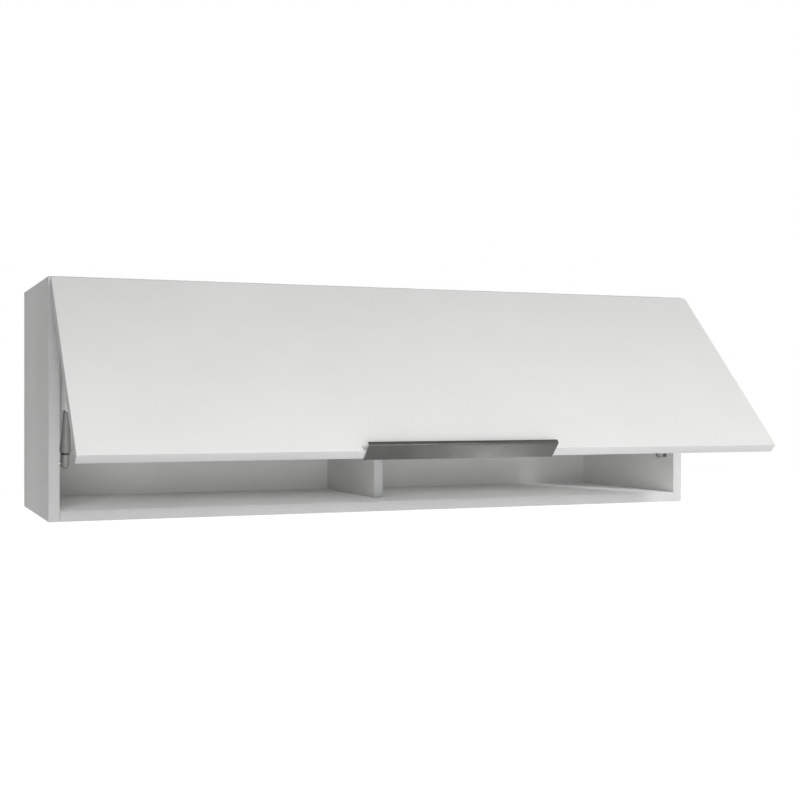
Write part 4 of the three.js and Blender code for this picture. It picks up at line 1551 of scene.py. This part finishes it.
    def build(self) -> None:
        """Make both hinges and drive their screws."""
        patterns = [self.mounting_plate(), self.arm(), self.crank(), self.pressed_cup()]
        for side in Side:
            across = at(side.value * self.x, 0, 0)
            made = [
                ("cross_plate", Matrix(), CARCASS, "plate"),
                ("folded_arm", Matrix(), CARCASS, "arm"),
                ("cranked_lever", self.lever_stand(), f"lever_{side.tag}", "lever"),
                ("pressed_cup", SIZES.swing(), FLAP, "cup"),
            ]
            for pattern, (name, stand, body, node) in zip(patterns, made):
                obj = move(copy_of(pattern), across @ stand)
                shade_smooth(PRESSED_ANGLE)
                seat(obj, f"{name}_{side.tag}", body, NICKEL_PLATE, f"hinge_{node}_{side.tag}")
            for index, sign in enumerate((-1, 1), start=1):
                tag = f"{side.tag}_{index}"
                under = at(sign * self.pitch / 2, self.row, self.under_top - self.plate)
                place = across @ under @ laid(Level.BOTTOM)
                node = f"hinge_screw_{tag}"
                SMALL_SCREWS.drive(f"plate_screw_{tag}", place, CARCASS, NICKEL_PLATE, node)
                mouth = at(sign * self.cup_pitch / 2, SIZES.seat_y + self.cup_wall, self.cup_z)
                place = SIZES.swing() @ across @ mouth @ TO_WALL
                SMALL_SCREWS.drive(f"cup_screw_{tag}", place, FLAP, NICKEL_PLATE)
        discard(*patterns)


# ---- Brackets -----------------------------------------------------------------------------------


@dataclass
class Brackets:
    """The struts' lower and upper brackets, each with its ball stud and two screws."""

    strut: Strut  # the struts that they hold
    sheet: float = 2 * MM  # thickness of a bracket's metal
    foot_low: Point = (-273 * MM, -94 * MM)  # (y, z) of the lower bracket's lowest corner
    foot_high: Point = (-243 * MM, -52 * MM)  # (y, z) of its highest
    foot_corner: float = 3 * MM  # radius of its corners
    # (y, z) of its screws.
    foot_screws: Sequence[Point] = ((-250 * MM, -77 * MM), (-250 * MM, -59 * MM))
    ear: float = 465 * MM  # X of the outer face of the upper bracket's ear
    ear_edge: float = 5 * MM  # metal round its stud
    ear_foot: float = 0.6  # height of the ear's root as a share of the foot's
    ear_arc: float = 72  # how far round the ear's edge is curved, to each side, in degrees
    base: Point = (25 * MM, 44 * MM)  # width and height of its foot
    base_corner: float = 2.5 * MM  # radius of the foot's corners
    base_pitch: float = 28 * MM  # between its screws
    collar: Point = (1.2 * MM, 1 * MM)  # width and height of the collar round a stud
    soft: float = 0.3 * MM  # radius of the brackets' edges

    def ball_stud(self, reach: float) -> Object:
        """Turn a stud about +Z from a collar at z = 0 to its ball's centre at a height.

        Args:
            reach: That height.

        Returns:
            The stud with its ball.
        """
        radius, stud = self.strut.ball, self.strut.stud
        collar, height = stud + self.collar[0], self.collar[1]
        lift = math.degrees(math.asin(stud / radius))
        ball = arc((0, reach), radius, -90 + lift, 90, steps=14)
        profile = [(0, -self.sheet / 2), (stud, -self.sheet / 2), (stud, 0), (collar, 0)]
        profile += [(collar, height), (stud, height), *[(max(r, 0), z) for r, z in ball]]
        return turned(profile, SMALL_SIDES)

    def foot(self) -> Object:
        """Press the left lower bracket and rivet its stud in.

        Returns:
            The bracket, in place.
        """
        face, wall = self.sheet - SIZES.inner, -SIZES.inner
        outline = rounded(self.foot_low, self.foot_high, self.foot_corner)
        plate = sawn([(face, y, z) for y, z in outline], (wall - face, 0, 0))
        for y, z in self.foot_screws:
            drill(plate, 0, (0, y, z), (wall - RUN_ON, face + RUN_ON), SCREW_HOLE)
        ease(plate, self.soft)
        place = at(face, *self.strut.foot) @ turn(90, "Y")
        return fuse(plate, move(self.ball_stud(abs(face) - self.strut.x), place))

    def head(self) -> Object:
        """Fold the left upper bracket: a foot on the flap, an ear and its ball stud.

        Returns:
            The bracket, where it is with the flap closed.
        """
        ball_z = self.strut.head_closed[1]
        half = self.base[1] / 2
        low, high = (-self.ear, ball_z - half), (self.base[0] - self.ear, ball_z + half)
        outline = rounded(low, high, self.base_corner)
        base = sawn([(x, SIZES.seat_y, z) for x, z in outline], (0, self.sheet, 0))
        for x, z in self.head_screws():
            span = (SIZES.seat_y - RUN_ON, SIZES.seat_y + 2 * RUN_ON)
            drill(base, 1, (-x, 0, z), span, SCREW_HOLE)
        foot = half * self.ear_foot
        ear = [(SIZES.seat_y, ball_z + foot), (SIZES.seat_y, ball_z - foot)]
        ear += arc(self.strut.head_closed, self.ear_edge, -self.ear_arc, self.ear_arc, steps=12)
        upright = sawn([(self.sheet - self.ear, y, z) for y, z in ear], (-self.sheet, 0, 0))
        bracket = ease(fuse(base, upright), self.soft)
        place = at(-self.ear, *self.strut.head_closed) @ turn(-90, "Y")
        return fuse(bracket, move(self.ball_stud(self.strut.x - self.ear), place))

    def head_screws(self) -> list[Point]:
        """(x, z) of the right upper bracket's screws with the flap closed."""
        middle, half = self.strut.head_closed[1], self.base_pitch / 2
        return [(self.ear - (self.sheet + self.base[0]) / 2, middle + z) for z in (-half, half)]

    def build(self) -> None:
        """Make and screw on all four brackets."""
        left_pair = (self.foot(), move(self.head(), SIZES.swing()))
        right_pair = (mirrored(left_pair[0]), mirrored(left_pair[1]))
        for side, (foot, head) in zip(Side, (left_pair, right_pair)):
            for obj, name, body in ((foot, "foot_bracket", CARCASS), (head, "head_bracket", FLAP)):
                pick(obj)
                shade_smooth(PRESSED_ANGLE)
                node = f"strut_{name}_{side.tag}"
                seat(obj, f"pressed_{name}_{side.tag}", body, ZINC_PLATE, node)
            face = side.value * (SIZES.inner - self.sheet)
            for index, (y, z) in enumerate(self.foot_screws, start=1):
                tag = f"{side.tag}_{index}"
                place = at(face, y, z) @ turn(-90 * side.value, "Y")
                node = f"strut_foot_screw_{tag}"
                SMALL_SCREWS.drive(f"bracket_screw_{tag}", place, CARCASS, ZINC_PLATE, node)
            for index, (x, z) in enumerate(self.head_screws(), start=1):
                washer = at(side.value * x, SIZES.seat_y + self.sheet, z)
                place = SIZES.swing() @ washer @ TO_WALL
                SMALL_SCREWS.drive(f"head_screw_{side.tag}_{index}", place, FLAP, ZINC_PLATE)


# ---- Studio -------------------------------------------------------------------------------------


@dataclass(frozen=True)
class SoftLamp:
    """An oblong soft box that faces the cabinet."""

    name: str  # what it is called
    place: Place  # where it hangs
    size: Point  # its width and height
    power: float  # in watts

    def hang(self, target: Vector) -> None:
        """Hang the lamp and aim it.

        Args:
            target: What it faces.
        """
        pick()
        bpy.ops.object.light_add(type="AREA", location=self.place)
        lamp = bpy.context.object
        lamp.name = self.name
        lamp.data.energy, lamp.data.shape = self.power, "RECTANGLE"
        lamp.data.size, lamp.data.size_y = self.size
        lamp.visible_camera = False
        lamp.rotation_euler = (target - Vector(self.place)).to_track_quat("-Z", "Y").to_euler()


@dataclass
class Studio:
    """The camera, a pale floor, soft lamps and a white surround."""

    camera_place: Place = (-0.7263, -2.1008, -0.0027)  # where the camera stands
    yaw: float = 22.065  # how far it looks to the right of +Y, in degrees
    pitch: float = 0.05  # how far it looks up, in degrees
    focal: float = 1317.97 / 800  # its focal length in picture widths
    # The floor's height, as far below the cabinet as a kitchen's would be.
    floor_drop: float = -1.45
    floor_size: float = 40.0  # the floor's side
    floor_glow: float = 0.02  # strength of the light that the floor gives of itself
    surround: float = 0.10  # strength of the even light from all round
    floor_seen: float = 0.95  # strength at which camera and gloss see the floor
    sensor: float = 36  # width of the camera's sensor in millimetres
    clip: Point = (0.01, 100)  # the nearest and the farthest that it sees
    # The soft boxes. The two keys stand high in front on the right, the lower ones give what a room
    # gives back, and the last is what a pale worktop throws up at the pull.
    lamps: Sequence[SoftLamp] = (
        SoftLamp("key_high", (2.95, -8.20, 4.75), (1.0, 3.6), 284),
        SoftLamp("key_low", (3.10, -8.55, 3.10), (1.0, 2.0), 108),
        SoftLamp("low_front", (-0.61, -4.66, -0.94), (1.8, 1.8), 40),
        SoftLamp("left_front", (-1.54, -4.53, 0.12), (1.8, 1.8), 42),
        SoftLamp("right_front", (1.54, -4.53, 0.12), (1.8, 1.8), 15),
        SoftLamp("right_fill", (7.06, -4.38, 3.80), (3.6, 3.6), 46),
        SoftLamp("pull_sheen", (0.73, -0.48, -1.32), (1.30, 0.40), 4.6),
    )

    def camera(self) -> None:
        """Stand the camera at the picture's viewpoint."""
        pick()
        gaze = (math.radians(90 + self.pitch), 0, math.radians(-self.yaw))
        bpy.ops.object.camera_add(location=self.camera_place, rotation=gaze)
        camera = bpy.context.object
        camera.data.sensor_width = self.sensor
        camera.data.lens = self.focal * self.sensor
        camera.data.clip_start, camera.data.clip_end = self.clip
        bpy.context.scene.camera = camera

    def seen_white(self, tree: NodeTree) -> NodeSocket:
        """Add nodes that are 1 on camera, glossy and transmission rays.

        Args:
            tree: The tree of a material or the world.

        Returns:
            An output that is 1 on those rays and 0 on all others.
        """
        path = add_node(tree, "ShaderNodeLightPath")
        rays = [path.outputs[f"Is {kind} Ray"] for kind in ("Camera", "Glossy", "Transmission")]
        seen = rays[0]
        for ray in rays[1:]:
            either = {"operation": "MAXIMUM"}
            seen = add_node(tree, "ShaderNodeMath", either, {0: seen, 1: ray}).outputs[0]
        return seen

    def floor(self) -> None:
        """Lay a pale floor, which is seen white and keeps the cabinet's shadow."""
        pick()
        bpy.ops.mesh.primitive_plane_add(size=self.floor_size, location=(0, 0, self.floor_drop))
        floor = settle(bpy.context.object)
        name_piece(floor, "floor")
        paint = bpy.data.materials.new("pale_floor")
        paint.use_nodes = True
        tree = paint.node_tree
        shader = tree.nodes["Principled BSDF"]
        shader.inputs["Base Color"].default_value = tint("#dcdcdc")
        shader.inputs["Roughness"].default_value = 0.9
        glow = add_node(
            tree,
            "ShaderNodeMath",
            {"operation": "MULTIPLY_ADD"},
            {0: self.seen_white(tree), 1: self.floor_seen - self.floor_glow, 2: self.floor_glow},
        )
        shader.inputs["Emission Color"].default_value = tint("#ffffff")
        tree.links.new(glow.outputs[0], shader.inputs["Emission Strength"])
        floor.data.materials.append(paint)

    def surroundings(self) -> None:
        """Light the cabinet evenly from all round, and show white behind it."""
        world = bpy.data.worlds.new("white_surround")
        world.use_nodes = True
        bpy.context.scene.world = world
        tree = world.node_tree
        tree.nodes.clear()
        white = tint("#ffffff")
        lit = add_node(tree, "ShaderNodeBackground", inputs={0: white, 1: self.surround})
        seen = add_node(tree, "ShaderNodeBackground", inputs={0: white, 1: 1.0})
        mixed = add_node(
            tree,
            "ShaderNodeMixShader",
            inputs={0: self.seen_white(tree), 1: lit.outputs[0], 2: seen.outputs[0]},
        )
        add_node(tree, "ShaderNodeOutputWorld", inputs={0: mixed.outputs[0]})

    def build(self) -> None:
        """Set the stage round the cabinet."""
        bpy.context.scene.view_settings.view_transform = "Standard"
        self.camera()
        self.floor()
        self.surroundings()
        for lamp in self.lamps:
            lamp.hang(Vector((0, SIZES.front, 0)))


# ---- The frame's own nodes ----------------------------------------------------------------------

PANELS = ("side_panel", "top_panel", "bottom_panel", "flap_panel", "centre_", "hanging_rail")
FITTINGS = ("handle_screw", "cam_", "bolt_", "divider_screw", "strut_foot", "strut_head")
NODE_FINISHES: Sequence[tuple[Finish, tuple[str, ...]]] = (
    (MELAMINE, PANELS),
    (HARDBOARD, ("back_board",)),
    (ZINC_PLATE, FITTINGS),
    (DARKENED_BRUSHED_ALUMINIUM, ("handle",)),
    (NICKEL_PLATE, ("hinge_",)),
    (HARD_CHROME, ("strut_rod",)),
    (PALE_ENAMEL, ("strut_tube",)),
    (GREY_ACETAL, ("strut_lower", "strut_upper")),
    (CLEAR_RUBBER, ("bumper",)),
)


def dress_nodes(nodes: Mapping[str, Object]) -> None:
    """Give every node of the frame its finish, by the first start of a name that fits.

    Args:
        nodes: The frame's node objects by name.
    """
    for name, obj in nodes.items():
        finish = next(made for made, starts in NODE_FINISHES if name.startswith(starts))
        finish.dress(obj)
        log.info("%s: %s", name, finish.name)


def corners(box: tuple[Vector, Vector]) -> list[list[float]]:
    """A box's two corners as plain lists."""
    return [list(corner) for corner in box]


def main() -> None:
    """Build the dressed cabinet round the frame."""
    logging.basicConfig(level=logging.INFO, format="%(name)s %(message)s")
    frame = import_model()
    dress_nodes(frame["nodes"])
    Studio().build()
    carcass = Carcass()
    carcass.build()
    Fixings(carcass).build()
    hinge = Hinge()
    Flap(hinge).build()
    hinge.build()
    strut = Strut()
    strut.build()
    Brackets(strut).build()
    for box in (SMALL_SCREWS, LONG_SCREWS):
        box.put_away()


if __name__ == "__main__":
    main()
